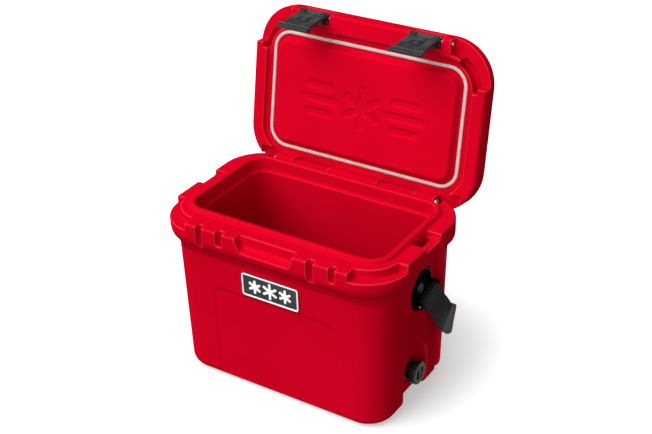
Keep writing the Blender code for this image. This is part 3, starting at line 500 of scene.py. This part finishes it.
def corner_block(start, end, low, high, half_x, half_y, radius):
    """Space over one front corner, outside the given outline of the rim or the gasket wall."""
    block = make("corner_block", box((start, -0.17, low), (0.24, end, high)), RED)
    keep = loft([ring(half_x, -half_y, half_y, radius, z) for z in (low - 0.02, high + 0.02)])
    carve(block, [keep])
    bm = bmesh.new()
    bm.from_mesh(block.data)
    bpy.data.objects.remove(block, do_unlink=True)
    return bm


def corner_channel(centre, low, high, inner, outer, start, end):
    """Curved channel over one front corner."""
    outline = arc(centre, outer, start, end, 18) + arc(centre, inner, end, start, 18)
    return slab(outline, low, high)


def rounded_slot(x0, x1, foot, radius=0.0045):
    """Upright latch slot with a rounded foot, open to the front and the top."""
    outline = arc((x1 - radius, foot + radius), radius, 0, -90, 6)[::-1]
    outline += [(x1, 0.32), (x0, 0.32)]
    outline += arc((x0 + radius, foot + radius), radius, 180, 270, 6)
    return prism(outline, -0.17, -0.137, axis=1)


def grip_cutter(half_low, back, floor_z, front_z):
    """Finger recess with sloping ends and a floor that falls towards the front."""
    front, half_high, slope, top = -0.165, 0.0625, 0.0033, 0.32
    low = [(-half_low, back, floor_z), (half_low, back, floor_z)]
    low += [(half_low, front, front_z), (-half_low, front, front_z)]
    high = [(-half_high, back + slope, top), (half_high, back + slope, top)]
    high += [(half_high, front, top), (-half_high, front, top)]
    return loft([[Vector(point) for point in level] for level in (low, high)])


def build_tub():
    shell = make("tub_skin", tub_solid(), RED, "tub")
    shapes = [join(*[rounded_slot(*slot) for slot in SLOTS])]
    shapes += [grip_cutter(0.0465, -0.1378, 0.2794, 0.2720), grip_cutter(0.0480, -0.1338, 0.2826, 0.2826)]
    shapes.append(mirrored_x(box((RING_X + 0.0015, -0.021, LIP_Z - 0.0156), (0.24, 0.027, 0.32))))
    shapes.append(mirrored_x(box((RING_X + 0.0015, -0.017, LIP_Z - 0.036), (0.2045, 0.023, 0.31))))
    hinge = box((-CENTRE_KNUCKLE - 0.001, RING_Y + 0.0008, 0.276), (CENTRE_KNUCKLE + 0.001, 0.16, 0.32))
    outer = mirrored_x(box((SIDE_KNUCKLE[0] - 0.001, RING_Y + 0.0008, 0.276), (0.172, 0.16, 0.32)))
    shapes += [hinge, outer]
    shapes.append(mirrored_x(rod((HUB_FLOOR, HUB_Y, HUB_Z), (1, 0, 0), 0.05, HUB_R + 0.0017, 72)))
    channel = [(0.033, 0.23), (0.033, 0.2035), (0.038, 0.1945), (0.066, 0.1935), (0.068, 0.1875)]
    channel += [(0.077, 0.1875), (0.0805, 0.2035), (0.0805, 0.23)]
    shapes.append(mirrored_x(slab([(x, y) for y, x in channel], -0.01, WALL_TOP - 0.001)))
    arch = arc((-0.0115, 0.061), 0.0385, 0, 180, 30) + [(-0.050, -0.01), (0.027, -0.01)]
    shapes.append(prism(arch, DRAIN_WALL, 0.24))
    shapes.append(rod((0.15, DRAIN_Y, DRAIN_Z), (1, 0, 0), 0.05, DRAIN_BORE + 0.0002))
    shapes.append(front_panel_cutter())
    shapes.append(mirrored_x(corner_block(CORNER_X, CORNER_Y, LEDGE_Z, 0.32, *CORNER_KEEP)))
    spots = [(x, y) for x in (-0.150, 0.150) for y in (-0.085, 0.070)]
    shapes.append(join(*[rod((x, y, -0.01), (0, 0, 1), 0.0154, 0.0144) for x, y in spots]))
    shapes.append(rod((0, 0.060, -0.01), (0, 0, 1), 0.015, 0.012))
    carve(shell, shapes)
    soften(shell, 0.0013, 3)
    starts = ("body_s", "rim_", "tub_liner", "liner_")
    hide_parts(*[node for node in frame["nodes"] if node.startswith(starts)])
    return shell


# ---------------------------------------------------------------- lid
def lid_solid():
    rings = [
        ring(0.168, -0.087, 0.087, 0.020, PLUG_BOTTOM),
        ring(0.1705, -0.0895, 0.0895, 0.0225, PLUG_BOTTOM + 0.0025),
        ring(0.174, -0.093, 0.093, 0.024, LID_ROOF),
        ring(0.1955, -0.1145, 0.1145, 0.046, LID_ROOF),
        ring(0.1965, -0.1155, 0.1155, 0.047, LID_UNDER),
        ring(COLLAR_X, LID_FRONT, LID_REAR, LID_R, LID_UNDER, 0.003),
        ring(COLLAR_X, LID_FRONT, LID_REAR, LID_R, LID_UNDER + 0.003),
    ]
    for step in range(9):
        turn = math.radians(90 * step / 8)
        z, inset = 0.3305 + 0.012 * math.sin(turn), 0.010 * (1 - math.cos(turn))
        rings.append(ring(COLLAR_X, LID_FRONT, LID_REAR, LID_R, z, inset))
    rings += [
        ring(COLLAR_X, LID_FRONT, LID_REAR, LID_R, 0.3425, 0.024),
        ring(COLLAR_X, LID_FRONT, LID_REAR, LID_R, LID_TOP, 0.027),
    ]
    return loft(rings)


def bar_outline(length, width, steps=8):
    reach = (length - width) / 2
    return arc((reach, 0), width / 2, -90, 90, steps) + arc((-reach, 0), width / 2, 90, 270, steps)


def spun(outline, degrees, centre=(0.0, 0.0)):
    c, s = math.cos(math.radians(degrees)), math.sin(math.radians(degrees))
    return [(centre[0] + x * c - y * s, centre[1] + x * s + y * c) for x, y in outline]


def lid_knuckle(low, high):
    outline = arc((HINGE_Y, HINGE_Z), KNUCKLE_R, 180, 360, 24)
    outline += [(HINGE_Y + KNUCKLE_R, LID_ROOF + 0.004), (HINGE_Y - KNUCKLE_R, LID_ROOF + 0.004)]
    return prism(outline, low, high)


def lid_pattern():
    """Plain debossed flake and bars on the plug's face."""
    depth = 0.0020
    low, high = PLUG_BOTTOM - 0.01, PLUG_BOTTOM + depth
    shapes = []
    for side in (-1, 1):
        for y, length in ((-0.024, 0.056), (0.0, 0.074), (0.024, 0.056)):
            outline = [(side * 0.083 + x, y + v) for x, v in bar_outline(length, 0.013)]
            shapes.append(slab(outline, low, high))
    shapes = [join(*shapes)]
    for turn in (30, 90, 150):
        shapes.append(slab(spun(bar_outline(0.078, 0.013), turn), low, high))
    return shapes


def build_lid():
    shell = make("lid_skin", lid_solid(), RED)
    shapes = [box((-0.1955, 0.108, 0.29), (0.1955, 0.16, LID_ROOF))]
    pocket = box((LATCH_X - 0.0295, -0.17, 0.29), (LATCH_X + 0.0295, -0.127, LIP_Z + 0.0145))
    shapes.append(mirrored_x(pocket))
    shapes.append(mirrored_x(corner_block(LID_CORNER_X, -0.076, 0.29, CORNER_ROOF, 0.202, 0.121, 0.053)))
    shapes.append(mirrored_x(corner_channel((0.146, -0.063), 0.29, LIP_Z + 0.0195, 0.0475, 0.0605, -66, -4)))
    shapes.append(mirrored_x(rod((0.1455, LATCH_ROD_Y, LATCH_ROD_Z), (1, 0, 0), 0.012, 0.0058)))
    carve(shell, shapes)
    knuckles = [(-CENTRE_KNUCKLE, CENTRE_KNUCKLE), SIDE_KNUCKLE, tuple(-x for x in reversed(SIDE_KNUCKLE))]
    carve(shell, [lid_knuckle(*span) for span in knuckles], "UNION")
    carve(shell, lid_pattern())
    soften(shell, 0.0012, 3)
    shell.data.transform(swing())
    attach(shell, "lid")
    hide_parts("lid_shell")
    return shell


def build_gasket():
    """Round-nosed bead with a flat foot, in the groove round the plug."""
    profile = []
    for step in range(13):
        turn = math.radians(-90 + 180 * step / 12)
        profile.append((0.0028 * math.sin(turn), LIP_Z + 0.0004 + 0.0014 * (1 - math.cos(turn) ** 0.8)))
    profile = [(-0.0029, LID_ROOF - 0.0003)] + profile + [(0.0029, LID_ROOF - 0.0003)]
    rows = [ring(0.18175 + out, -0.10105 - out, 0.10105 + out, 0.03125 + out, z) for out, z in profile]
    bead = make("gasket_bead", loft(rows, closed=True), SEAL)
    bead.data.shade_smooth()
    bead.data.set_sharp_from_angle(angle=math.radians(50))
    bead.data.transform(swing())
    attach(bead, "lid")
    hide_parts("lid_gasket")


# ---------------------------------------------------------------- latches and rods
def latch_profile():
    """Side view of a latch hanging straight down, rod axis at the origin."""
    outline = arc((0, 0), 0.0058, -100, 140, 24)
    outline += [(-0.0060, 0.0036), (-0.0105, -0.0175), (-0.0138, -0.0400), (-0.0150, -0.0600)]
    outline += [(-0.0176, -0.0665), (-0.0176, -0.0735), (-0.0145, -0.0755), (-0.0112, -0.0725)]
    outline += [(-0.0112, -0.0600), (-0.0102, -0.0400), (-0.0069, -0.0185), (-0.0046, -0.0085)]
    return outline


def latch_face(z):
    """How far out the latch's face lies at a height."""
    points = [(0.0036, -0.0060), (-0.0175, -0.0105), (-0.0400, -0.0138)]
    points += [(-0.0600, -0.0150), (-0.0665, -0.0176)]
    for (z0, y0), (z1, y1) in zip(points, points[1:]):
        if z >= z1:
            return y0 + (y1 - y0) * (z - z0) / (z1 - z0)
    return points[-1][1]


def build_latch(side):
    at = Vector((side * LATCH_X, LATCH_ROD_Y, LATCH_ROD_Z))
    name = side_name(side)
    latch = make(f"latch_skin_{name}", prism(latch_profile(), -LATCH_HALF, LATCH_HALF), LATCH)
    # painted shade: a thin sheet of the dark latch rubber closes the window, standing in for the shadowed lid
    # pocket behind it; it is joined into the latch's relief piece
    shade_web_outline = [(-0.0104, -0.0160), (-0.0137, -0.0400), (-0.0129, -0.0400), (-0.0096, -0.0160)]
    shade_web = prism(shade_web_outline, -0.0118, 0.0118)
    lugs = mirrored_x(box((0.0155, -0.0110, -0.0210), (0.0240, 0.0035, -0.0020)))
    carve(latch, [lugs], "UNION")
    window = box((-0.0115, -0.03, -0.0395), (0.0115, 0.01, -0.0165))
    rod_gap = box((-0.010, -0.0035, -0.012), (0.010, 0.012, 0.012))
    waist = mirrored_x(box((0.0262, -0.03, -0.0620), (0.04, 0.02, 0.0200)))
    vents = join(*[rod((x, -0.03, z), (0, 1, 0), 0.05, 0.0014, 24) for x, z in LATCH_VENTS])
    carve(latch, [window, rod_gap, waist, vents])
    soften(latch, 0.0006, 3, 0.4)
    ridges = []
    for row in range(4):
        z = -0.0455 - 0.0038 * row
        for start, length in ((-0.0215, 0.026), (0.0195, 0.003)):
            ridges.append(rod((start, latch_face(z) + 0.0003, z), (1, 0, 0), length, 0.0007, 12))
    frame_bars = [rod((-0.0128, latch_face(z), z), (1, 0, 0), 0.0256, 0.0008, 12) for z in (-0.0150, -0.0411)]
    relief = make(f"latch_relief_{name}", join(shade_web, *ridges, *frame_bars), LATCH)
    relief.data.shade_smooth()
    hung = swing() @ Matrix.Translation(at) @ Matrix.Rotation(LATCH_DROOP, 4, "X")
    for piece in (latch, relief):
        piece.data.transform(hung)
        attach(piece, f"latch_{name}")
    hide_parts(f"latch_{name}")


def pin(name, start, axis, length, radius, finish, body, slot):
    """A rod with chamfered, slightly domed ends."""
    profile = (
        (0, radius * 0.35),
        (0.0002, radius * 0.75),
        (0.0007, radius * 0.97),
        (0.0011, radius),
        (length - 0.0011, radius),
        (length - 0.0007, radius * 0.97),
        (length - 0.0002, radius * 0.75),
        (length, radius * 0.35),
    )
    made = make(name, loft(turned(profile, start, axis)), finish)
    made.data.shade_smooth()
    made.data.set_sharp_from_angle(angle=math.radians(60))
    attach(made, body)
    return made


def build_rods():
    for side in (-1, 1):
        name = side_name(side)
        start = (side * PIN_ENDS[0], LATCH_ROD_Y, LATCH_ROD_Z)
        length = PIN_ENDS[1] - PIN_ENDS[0]
        finish = (STEEL, f"latch_pin_{name}", "stainless_steel")
        made = pin(f"latch_rod_skin_{name}", start, (side, 0, 0), length, ROD_R, *finish)
        made.data.transform(swing())
        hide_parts(f"latch_rod_{name}")
        clip = tube((side * 0.1576, HINGE_Y, HINGE_Z), (side, 0, 0), 0.0024, 0.0062, ROD_R + 0.0002)
        clip = bevelled(make(f"hinge_clip_skin_{name}", clip, STEEL), 0.0004)
        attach(clip, "tub")
        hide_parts(f"hinge_clip_{name}")
    start, length = (-0.161, HINGE_Y, HINGE_Z), 0.322
    made = pin("hinge_rod_skin", start, (1, 0, 0), length, ROD_R, STEEL, "tub", "stainless_steel")
    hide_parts("hinge_rod")


# ---------------------------------------------------------------- badge
def build_badge():
    centre_z, half_x, half_z, radius = 0.211, 0.054, 0.021, 0.005
    tilt = math.atan2(BASE_FRONT - WALL_FRONT, WALL_TOP)
    place = Matrix.Translation((0, front_face(centre_z) - 0.0003, centre_z)) @ Matrix.Rotation(tilt, 4, "X")

    def outline(inset):
        points = []
        for right, up, start in ((1, 1, 0), (-1, 1, 90), (-1, -1, 180), (1, -1, 270)):
            centre = (right * (half_x - radius), up * (half_z - radius))
            points += arc(centre, radius - inset, start, start + 90, 12)
        return points

    def row(proud, inset):
        return [Vector((x, proud, z)) for x, z in outline(inset)]

    steps = ((0.0, 0.0), (-0.0012, 0.0), (-0.0016, 0.0004), (-0.0016, 0.0026), (-0.0014, 0.0030))
    plate = loft([row(*step) for step in steps])
    rim = [row(-0.0016, 0.0003), row(-0.0026, 0.0003), row(-0.0030, 0.0007)]
    rim += [row(-0.0030, 0.0023), row(-0.0026, 0.0027), row(-0.0016, 0.0027)]
    bars = []
    for centre, length in ((-0.0290, 0.025), (0.0, 0.030), (0.0290, 0.025)):
        for turn in (30, 90, 150):
            points = spun(bar_outline(length, 0.0044, 10), turn, (centre, 0.0))
            layers = ((-0.0014, 0.0), (-0.0026, 0.0))
            bars.append(loft([[Vector((x, proud, z)) for x, z in points] for proud, _ in layers]))
    pieces = (
        ("badge_plate", plate, PLATE, "black_nylon"),
        ("badge_border", loft(rim, closed=True), WHITE, "white_inlay"),
        ("badge_emblem", bars[0], WHITE, "white_inlay"),
    )
    for name, bm, finish, slot in pieces:
        made = make(f"{name}_skin", bm, finish)
        if name == "badge_emblem":
            carve(made, bars[1:], "UNION")
            bevelled(made, 0.0003)
        else:
            made.data.shade_smooth()
            made.data.set_sharp_from_angle(angle=math.radians(50))
        made.data.transform(place)
        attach(made, "tub")
        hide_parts(name)


# ---------------------------------------------------------------- handle
def strap_route():
    """Centre points and width directions of the right half of the strap, hub to middle."""
    down = -BAR_DIR.cross(Vector((1, 0, 0))).normalized()
    down = -down if down.z > 0 else down
    along = (Vector((0.62, 0, 0)) + 0.78 * down).normalized()
    outward = BAR_DIR.cross(along).normalized()
    outward = -outward if outward.x < 0 else outward
    wrap = BAR_R + 0.0006 + STRAP_T / 2
    points = []
    lead = BAR_AT + wrap * outward
    for reach in (0.021, 0.013):
        points.append(lead + reach * along - 0.0037 * outward - (0.021 - reach) * 0.15 * outward)
    for step in range(7):
        turn = math.radians(180 + 30 * step)
        points.append(BAR_AT + wrap * (math.cos(turn) * outward + math.sin(turn) * along))
    widths = [BAR_DIR] * len(points)
    free_run = (
        ((0.2195, 0.0120, 0.1835), (0.00, 0.958, 0.287)),
        ((0.2290, 0.0160, 0.1680), (0.00, 0.93, 0.36)),
        ((0.2338, 0.0195, 0.1545), (-0.01, 0.91, 0.41)),
        ((0.2335, 0.0275, 0.1475), (-0.04, 0.87, 0.50)),
        ((0.2275, 0.0400, 0.1385), (-0.06, 0.78, 0.62)),
        ((0.2205, 0.0560, 0.1250), (-0.06, 0.66, 0.75)),
        ((0.2135, 0.0780, 0.1065), (-0.04, 0.50, 0.86)),
        ((0.2070, 0.1020, 0.0910), (0.00, 0.40, 0.92)),
        ((0.1950, 0.1240, 0.0780), (0.00, 0.25, 0.97)),
        ((0.1720, 0.1365, 0.0690), (0.00, 0.12, 0.99)),
        ((0.1350, 0.1400, 0.0612), (0.00, 0.04, 1.00)),
        ((0.0900, 0.1400, 0.0592), (0.00, 0.00, 1.00)),
        ((0.0300, 0.1400, 0.0588), (0.00, 0.00, 1.00)),
        ((0.0000, 0.1400, 0.0588), (0.00, 0.00, 1.00)),
    )
    for place, width in free_run:
        points.append(Vector(place))
        widths.append(Vector(width).normalized())
    return points, widths


def between(values, index, part):
    """Catmull-Rom between values[index] and values[index + 1]."""
    last = len(values) - 1
    a, b, c, d = (values[min(max(index + k, 0), last)] for k in (-1, 0, 1, 2))
    return 0.5 * (
        2 * b + (c - a) * part + (2 * a - 5 * b + 4 * c - d) * part**2 + (3 * b - a - 3 * c + d) * part**3
    )


def strap_line(steps=10):
    """Centre points, width directions and face directions along the whole strap."""
    points, widths = strap_route()
    fine, across = [], []
    for index in range(len(points) - 1):
        for step in range(steps):
            fine.append(between(points, index, step / steps))
            across.append(between(widths, index, step / steps).normalized())
    flip = Matrix.Scale(-1, 4, (1, 0, 0))
    mirrored = [(flip @ a, flip @ b) for a, b in zip(fine, across)]
    fine = fine + [points[-1]] + [a for a, _ in mirrored[::-1]]
    across = across + [widths[-1]] + [b for _, b in mirrored[::-1]]
    rows = []
    for index, (point, wide) in enumerate(zip(fine, across)):
        travel = (fine[min(index + 1, len(fine) - 1)] - fine[max(index - 1, 0)]).normalized()
        wide = (wide - travel * wide.dot(travel)).normalized()
        rows.append((point, wide, travel.cross(wide)))
    return rows


def build_strap():
    """Webbing with rounded selvedges, its two tails stitched back on themselves."""
    line = strap_line()
    section = []
    for step in range(9):
        section.append((-0.5 + step / 8, 0.5))
    section = [(a, b * (1.0 if abs(a) < 0.49 else 0.55)) for a, b in section]
    section += [(a, -b) for a, b in section[::-1]]
    rings, lengths, run = [], [], 0.0
    for index, (point, wide, through) in enumerate(line):
        run += (point - line[index - 1][0]).length if index else 0.0
        lengths.append(run)
        rings.append([point + wide * (a * STRAP_W) + through * (b * STRAP_T) for a, b in section])
    strap = make("strap_skin", loft(rings), WEBBING)
    weave = strap.data.uv_layers.new(name="weave")
    spots = {}
    for row, ring_points in enumerate(rings):
        for column, point in enumerate(ring_points):
            spots[tuple(round(value, 5) for value in point)] = (lengths[row], section[column][0] * STRAP_W)
    for loop in strap.data.loops:
        at = strap.data.vertices[loop.vertex_index].co
        weave.data[loop.index].uv = spots.get(tuple(round(value, 5) for value in at), (0.0, 0.0))
    strap.data.shade_smooth()
    strap.data.set_sharp_from_angle(angle=math.radians(60))
    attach(strap, "handle")
    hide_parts("carry_strap")

    stitches = []
    total = lengths[-1]
    for start in (0.0330, 0.0375, 0.0465, 0.0510):
        for along in (start, total - start):
            index = min(range(len(line)), key=lambda k: abs(lengths[k] - along))
            point, wide, through = line[index]
            for step in range(15):
                lift = STRAP_T / 2 * outward_sign(point, through)
                middle = point + wide * ((step - 7) * 0.0029) + through * lift
                stitches.append(rod(middle - wide * 0.0009, wide, 0.0018, 0.00032, 6))
    thread = make("strap_stitches", join(*stitches), THREAD)
    thread.data.shade_smooth()
    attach(thread, "handle")


def outward_sign(point, through):
    return 1.0 if Vector((point.x, 0, 0)).dot(through) > 0 else -1.0


def build_grip():
    """Soft sleeve round the middle of the strap, with shallow ribs round it."""
    level, middle, end = 0.0588, 0.1400, 0.062

    def sleeve(x, grow):
        half_z, half_y = STRAP_W / 2 + 0.0065 - grow, 0.0075 - grow
        round_off = min(half_y, 0.0065) * 0.92
        points = []
        for right, up, start in ((1, 1, 0), (-1, 1, 90), (-1, -1, 180), (1, -1, 270)):
            centre = (middle + right * (half_y - round_off), level + up * (half_z - round_off))
            points += arc(centre, round_off, start, start + 90, 10)
        return [Vector((x, y, z)) for y, z in points]

    rings = [sleeve(-end, 0.0022), sleeve(-end + 0.0006, 0.0010), sleeve(-end + 0.0022, 0.0)]
    count = 96
    for step in range(1, count):
        x = -end + 0.004 + (2 * end - 0.008) * step / count
        rib = 0.5 + 0.5 * math.cos(2 * math.pi * x / 0.0062)
        rings.append(sleeve(x, 0.0009 * rib**3 if abs(x) < 0.050 else 0.0))
    rings += [sleeve(end - 0.0022, 0.0), sleeve(end - 0.0006, 0.0010), sleeve(end, 0.0022)]
    hollow = 0.0075 - STRAP_T / 2 - 0.0006
    rings += [sleeve(end, hollow * 0.98), sleeve(-end, hollow * 0.98)]
    grip = make("strap_grip_skin", loft(rings, closed=True), RUBBER)
    grip.data.shade_smooth()
    grip.data.set_sharp_from_angle(angle=math.radians(60))
    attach(grip, "handle")
    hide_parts("strap_grip")


def build_hub(side):
    name = side_name(side)
    centre = Vector((0, HUB_Y, HUB_Z))
    dish = (
        (HUB_FLOOR + 0.0006, HUB_R - 0.002),
        (HUB_FLOOR + 0.0026, HUB_R),
        (HUB_FACE - 0.001, HUB_R),
        (HUB_FACE, HUB_R - 0.001),
        (HUB_FACE, HUB_R - 0.0045),
        (HUB_FACE - 0.0012, HUB_R - 0.0055),
        (HUB_FACE - 0.0085, HUB_R - 0.0065),
        (HUB_FACE - 0.0088, 0.0130),
        (HUB_FACE - 0.002, 0.0115),
        (HUB_FACE - 0.002, 0.0092),
        (HUB_FACE - 0.0055, 0.0092),
        (HUB_FACE - 0.0055, 0.0045),
        (HUB_FLOOR + 0.0006, 0.0045),
    )
    shape = flipped(loft(turned(dish, centre, (1, 0, 0), 96), closed=True), side)
    hub = make(f"hub_skin_{name}", shape, HUB_NYLON)
    ribs = []
    for turn in range(12):
        angle = math.radians(15 + 30 * turn)
        rib = box((HUB_FACE - 0.0095, -0.0009, 0.0110), (HUB_FACE - 0.0030, 0.0009, HUB_R - 0.0052))
        spin = Matrix.Translation(centre) @ Matrix.Rotation(angle - math.pi / 2, 4, "X")
        ribs.append(moved(rib, spin))
    carve(hub, [flipped(join(*ribs), side)], "UNION")
    reach = STRAP_W / 2 + 0.0042
    additions = []
    for end in (-1, 1):
        at = BAR_AT + BAR_DIR * (end * reach)
        foot = box((HUB_FACE - 0.009, -0.0055, -0.0020), (BAR_AT.x + 0.001, 0.0055, 0.0020))
        basis = Matrix((Vector((1, 0, 0)), BAR_DIR.cross(Vector((1, 0, 0))), BAR_DIR)).transposed()
        additions.append(flipped(moved(foot, Matrix.Translation((0, at.y, at.z)) @ basis.to_4x4()), side))
        ear = loft(turned(((-0.0025, 0.0062), (0.0025, 0.0062)), at, BAR_DIR, 48))
        additions.append(flipped(ear, side))
    carve(hub, additions, "UNION")
    carve(hub, [flipped(rod(BAR_AT - BAR_DIR * 0.05, BAR_DIR, 0.1, BAR_R + 0.0003), side)])
    bevelled(hub, 0.0004)
    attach(hub, "handle")
    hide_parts(f"handle_hub_{name}")

    half = reach + 0.0018
    start = BAR_AT - BAR_DIR * half
    mirror = Matrix.Scale(side, 4, (1, 0, 0))
    finish = (STEEL, "handle", "stainless_steel")
    bar = pin(f"strap_bar_skin_{name}", mirror @ start, mirror @ BAR_DIR, 2 * half, BAR_R, *finish)
    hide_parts(f"strap_bar_{name}")

    head = (
        (HUB_FLOOR - 0.0049, 0.0036),
        (HUB_FACE - 0.0051, 0.0036),
        (HUB_FACE - 0.0051, 0.0084),
        (HUB_FACE - 0.0030, 0.0084),
        (HUB_FACE - 0.0018, 0.0078),
        (HUB_FACE - 0.0012, 0.0062),
        (HUB_FACE - 0.0012, 0.0030),
    )
    screw = turned(head, centre, (1, 0, 0))
    socket = turned(((HUB_FACE - 0.0012, 0.0029), (HUB_FACE - 0.0032, 0.0024)), centre, (1, 0, 0))
    made = make(f"pivot_screw_skin_{name}", flipped(loft(screw + socket), side), SCREW)
    made.data.shade_smooth()
    made.data.set_sharp_from_angle(angle=math.radians(40))
    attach(made, "tub")
    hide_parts(f"pivot_screw_{name}")


# ---------------------------------------------------------------- drain
def build_drain():
    start = Vector((0, DRAIN_Y, DRAIN_Z))
    bushing = (
        (0.1625, DRAIN_BORE),
        (DRAIN_WALL + 0.0003, DRAIN_BORE),
        (DRAIN_WALL + 0.0003, 0.0175),
        (DRAIN_WALL + 0.0022, 0.0173),
        (DRAIN_WALL + 0.0029, 0.0168),
        (DRAIN_WALL + 0.0032, 0.0160),
        (DRAIN_WALL + 0.0032, 0.0098),
        (0.1625, 0.0098),
    )
    collar = make("drain_bushing_skin", loft(turned(bushing, start, (1, 0, 0), 96), closed=True), NYLON)
    collar.data.shade_smooth()
    collar.data.set_sharp_from_angle(angle=math.radians(40))
    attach(collar, "tub")
    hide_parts("drain_bushing")

    knob = (
        (DRAIN_WALL - 0.011, 0.0070),
        (DRAIN_WALL - 0.009, 0.0092),
        (DRAIN_WALL + 0.0066, 0.0092),
        (DRAIN_WALL + 0.0066, 0.0155),
        (DRAIN_WALL + 0.0115, 0.0165),
        (DRAIN_WALL + 0.0130, 0.0195),
        (DRAIN_WALL + 0.0245, 0.0200),
        (DRAIN_WALL + 0.0258, 0.0196),
        (DRAIN_WALL + 0.0265, 0.0185),
        (DRAIN_WALL + 0.0265, 0.0120),
        (DRAIN_WALL + 0.0250, 0.0112),
        (DRAIN_WALL + 0.0235, 0.0108),
    )
    plug = make("drain_plug_skin", loft(turned(knob, start, (1, 0, 0), 108)), NYLON)
    flutes = []
    for step in range(9):
        turn = math.radians(40 * step)
        at = start + Vector((DRAIN_WALL + 0.012, 0.0218 * math.cos(turn), 0.0218 * math.sin(turn)))
        flutes.append(rod(at, (1, 0, 0), 0.03, 0.0034, 24))
    carve(plug, [join(*flutes)])
    wing_low = (DRAIN_WALL + 0.022, DRAIN_Y - 0.0022, DRAIN_Z - 0.0113)
    wing_high = (DRAIN_WALL + 0.0262, DRAIN_Y + 0.0022, DRAIN_Z + 0.0113)
    wing = box(wing_low, wing_high)
    carve(plug, [wing], "UNION")
    bevelled(plug, 0.0005)
    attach(plug, "drain_knob")
    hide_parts("drain_plug")


# ---------------------------------------------------------------- camera, floor and lights
FLOOR_GREY = 0.46
GLOW_NEAR, GLOW_FAR = 0.20, 0.40  # distances over which the floor's own light rises
GLOW_LOW, GLOW_HIGH = 0.40, 0.92
SURROUND_RADIUS = 14.0
AMBIENT = 0.09
SUNS = (  # name, where it shines from, strength, angular size in degrees
    ("key", (-1.5, -1.55, 2.8), 4.75, 58),
    ("fill", (0.9, -1.6, 0.30), 2.2, 70),
    ("rear_fill", (-0.1, 1.6, 0.35), 1.5, 80),
)


def build_stage():
    bpy.ops.mesh.primitive_plane_add(size=30.0)
    floor = bpy.context.object
    floor.name = "floor"
    shader = Shader("pale_floor", (FLOOR_GREY,) * 3, 0.9, specular=0.0)
    shader.set("Emission Color", (1.0, 1.0, 1.0, 1.0))
    radial = shader.node("ShaderNodeVectorMath", Vector=shader.coordinates)
    radial.operation = "LENGTH"
    glow = shader.range(radial.outputs["Value"], GLOW_NEAR, GLOW_FAR, GLOW_LOW, GLOW_HIGH)
    shader.link(glow, "Emission Strength")
    floor.data.materials.append(shader.material)
    floor.visible_diffuse = False

    # a white surround that only the camera sees, so that it adds no light
    bpy.ops.mesh.primitive_uv_sphere_add(radius=SURROUND_RADIUS)
    surround = bpy.context.object
    surround.name = "surround"
    white = Shader("white_surround", (0.0, 0.0, 0.0), 1.0, specular=0.0)
    white.set("Emission Color", (1.0, 1.0, 1.0, 1.0))
    white.set("Emission Strength", 1.0)
    surround.data.materials.append(white.material)
    for ray in ("diffuse", "glossy", "transmission", "volume_scatter", "shadow"):
        setattr(surround, f"visible_{ray}", False)

    scene = bpy.context.scene
    scene.view_settings.view_transform = "Standard"
    scene.view_settings.look = "None"
    world = bpy.data.worlds.new("studio")
    world.use_nodes = True
    world.node_tree.nodes["Background"].inputs["Color"].default_value = (1.0, 1.0, 1.0, 1.0)
    world.node_tree.nodes["Background"].inputs["Strength"].default_value = AMBIENT
    scene.world = world

    for name, place, power, spread in SUNS:
        light = bpy.data.lights.new(name, "SUN")
        light.energy = power
        light.angle = math.radians(spread)
        holder = bpy.data.objects.new(name, light)
        holder.location = place
        holder.rotation_euler = (-Vector(place)).to_track_quat("-Z", "Y").to_euler()
        COLLECTION.objects.link(holder)


def build_camera():
    azimuth, elevation, roll = math.radians(32.98), math.radians(29.94), math.radians(-1.50)
    target, distance = Vector((0.0232, 0.0, 0.2885)), 2.069
    level = Vector((math.sin(azimuth), -math.cos(azimuth), 0.0))
    back = level * math.cos(elevation) + Vector((0.0, 0.0, math.sin(elevation)))
    camera_data = bpy.data.cameras.new("camera")
    camera_data.lens = 70.45
    camera_data.sensor_width = 36.0
    camera = bpy.data.objects.new("camera", camera_data)
    aim = (-back).to_track_quat("-Z", "Y").to_matrix().to_4x4()
    camera.matrix_world = Matrix.Translation(target + back * distance) @ aim @ Matrix.Rotation(roll, 4, "Z")
    COLLECTION.objects.link(camera)
    bpy.context.scene.camera = camera


def finish_cad_nodes():
    finishes = {
        "red_polyethylene": RED,
        "polyurethane_foam": FOAM,
        "black_nylon": NYLON,
        "black_rubber": RUBBER,
        "grey_gasket": SEAL,
        "white_inlay": WHITE,
        "stainless_steel": STEEL,
        "black_screw": SCREW,
        "brass": BRASS,
        "black_webbing": WEBBING,
    }
    for row in RECORD["subparts"]:
        node = frame["nodes"][row["node"]]
        node.data.materials.clear()
        node.data.materials.append(finishes[row["material_slot"]])
        node.data.shade_smooth()
        node.data.set_sharp_from_angle(angle=math.radians(35))


finish_cad_nodes()
build_camera()
build_stage()
build_tub()
build_lid()
build_gasket()
build_rods()
build_badge()
build_strap()
build_grip()
build_drain()
for side in (-1, 1):
    build_latch(side)
    build_hub(side)
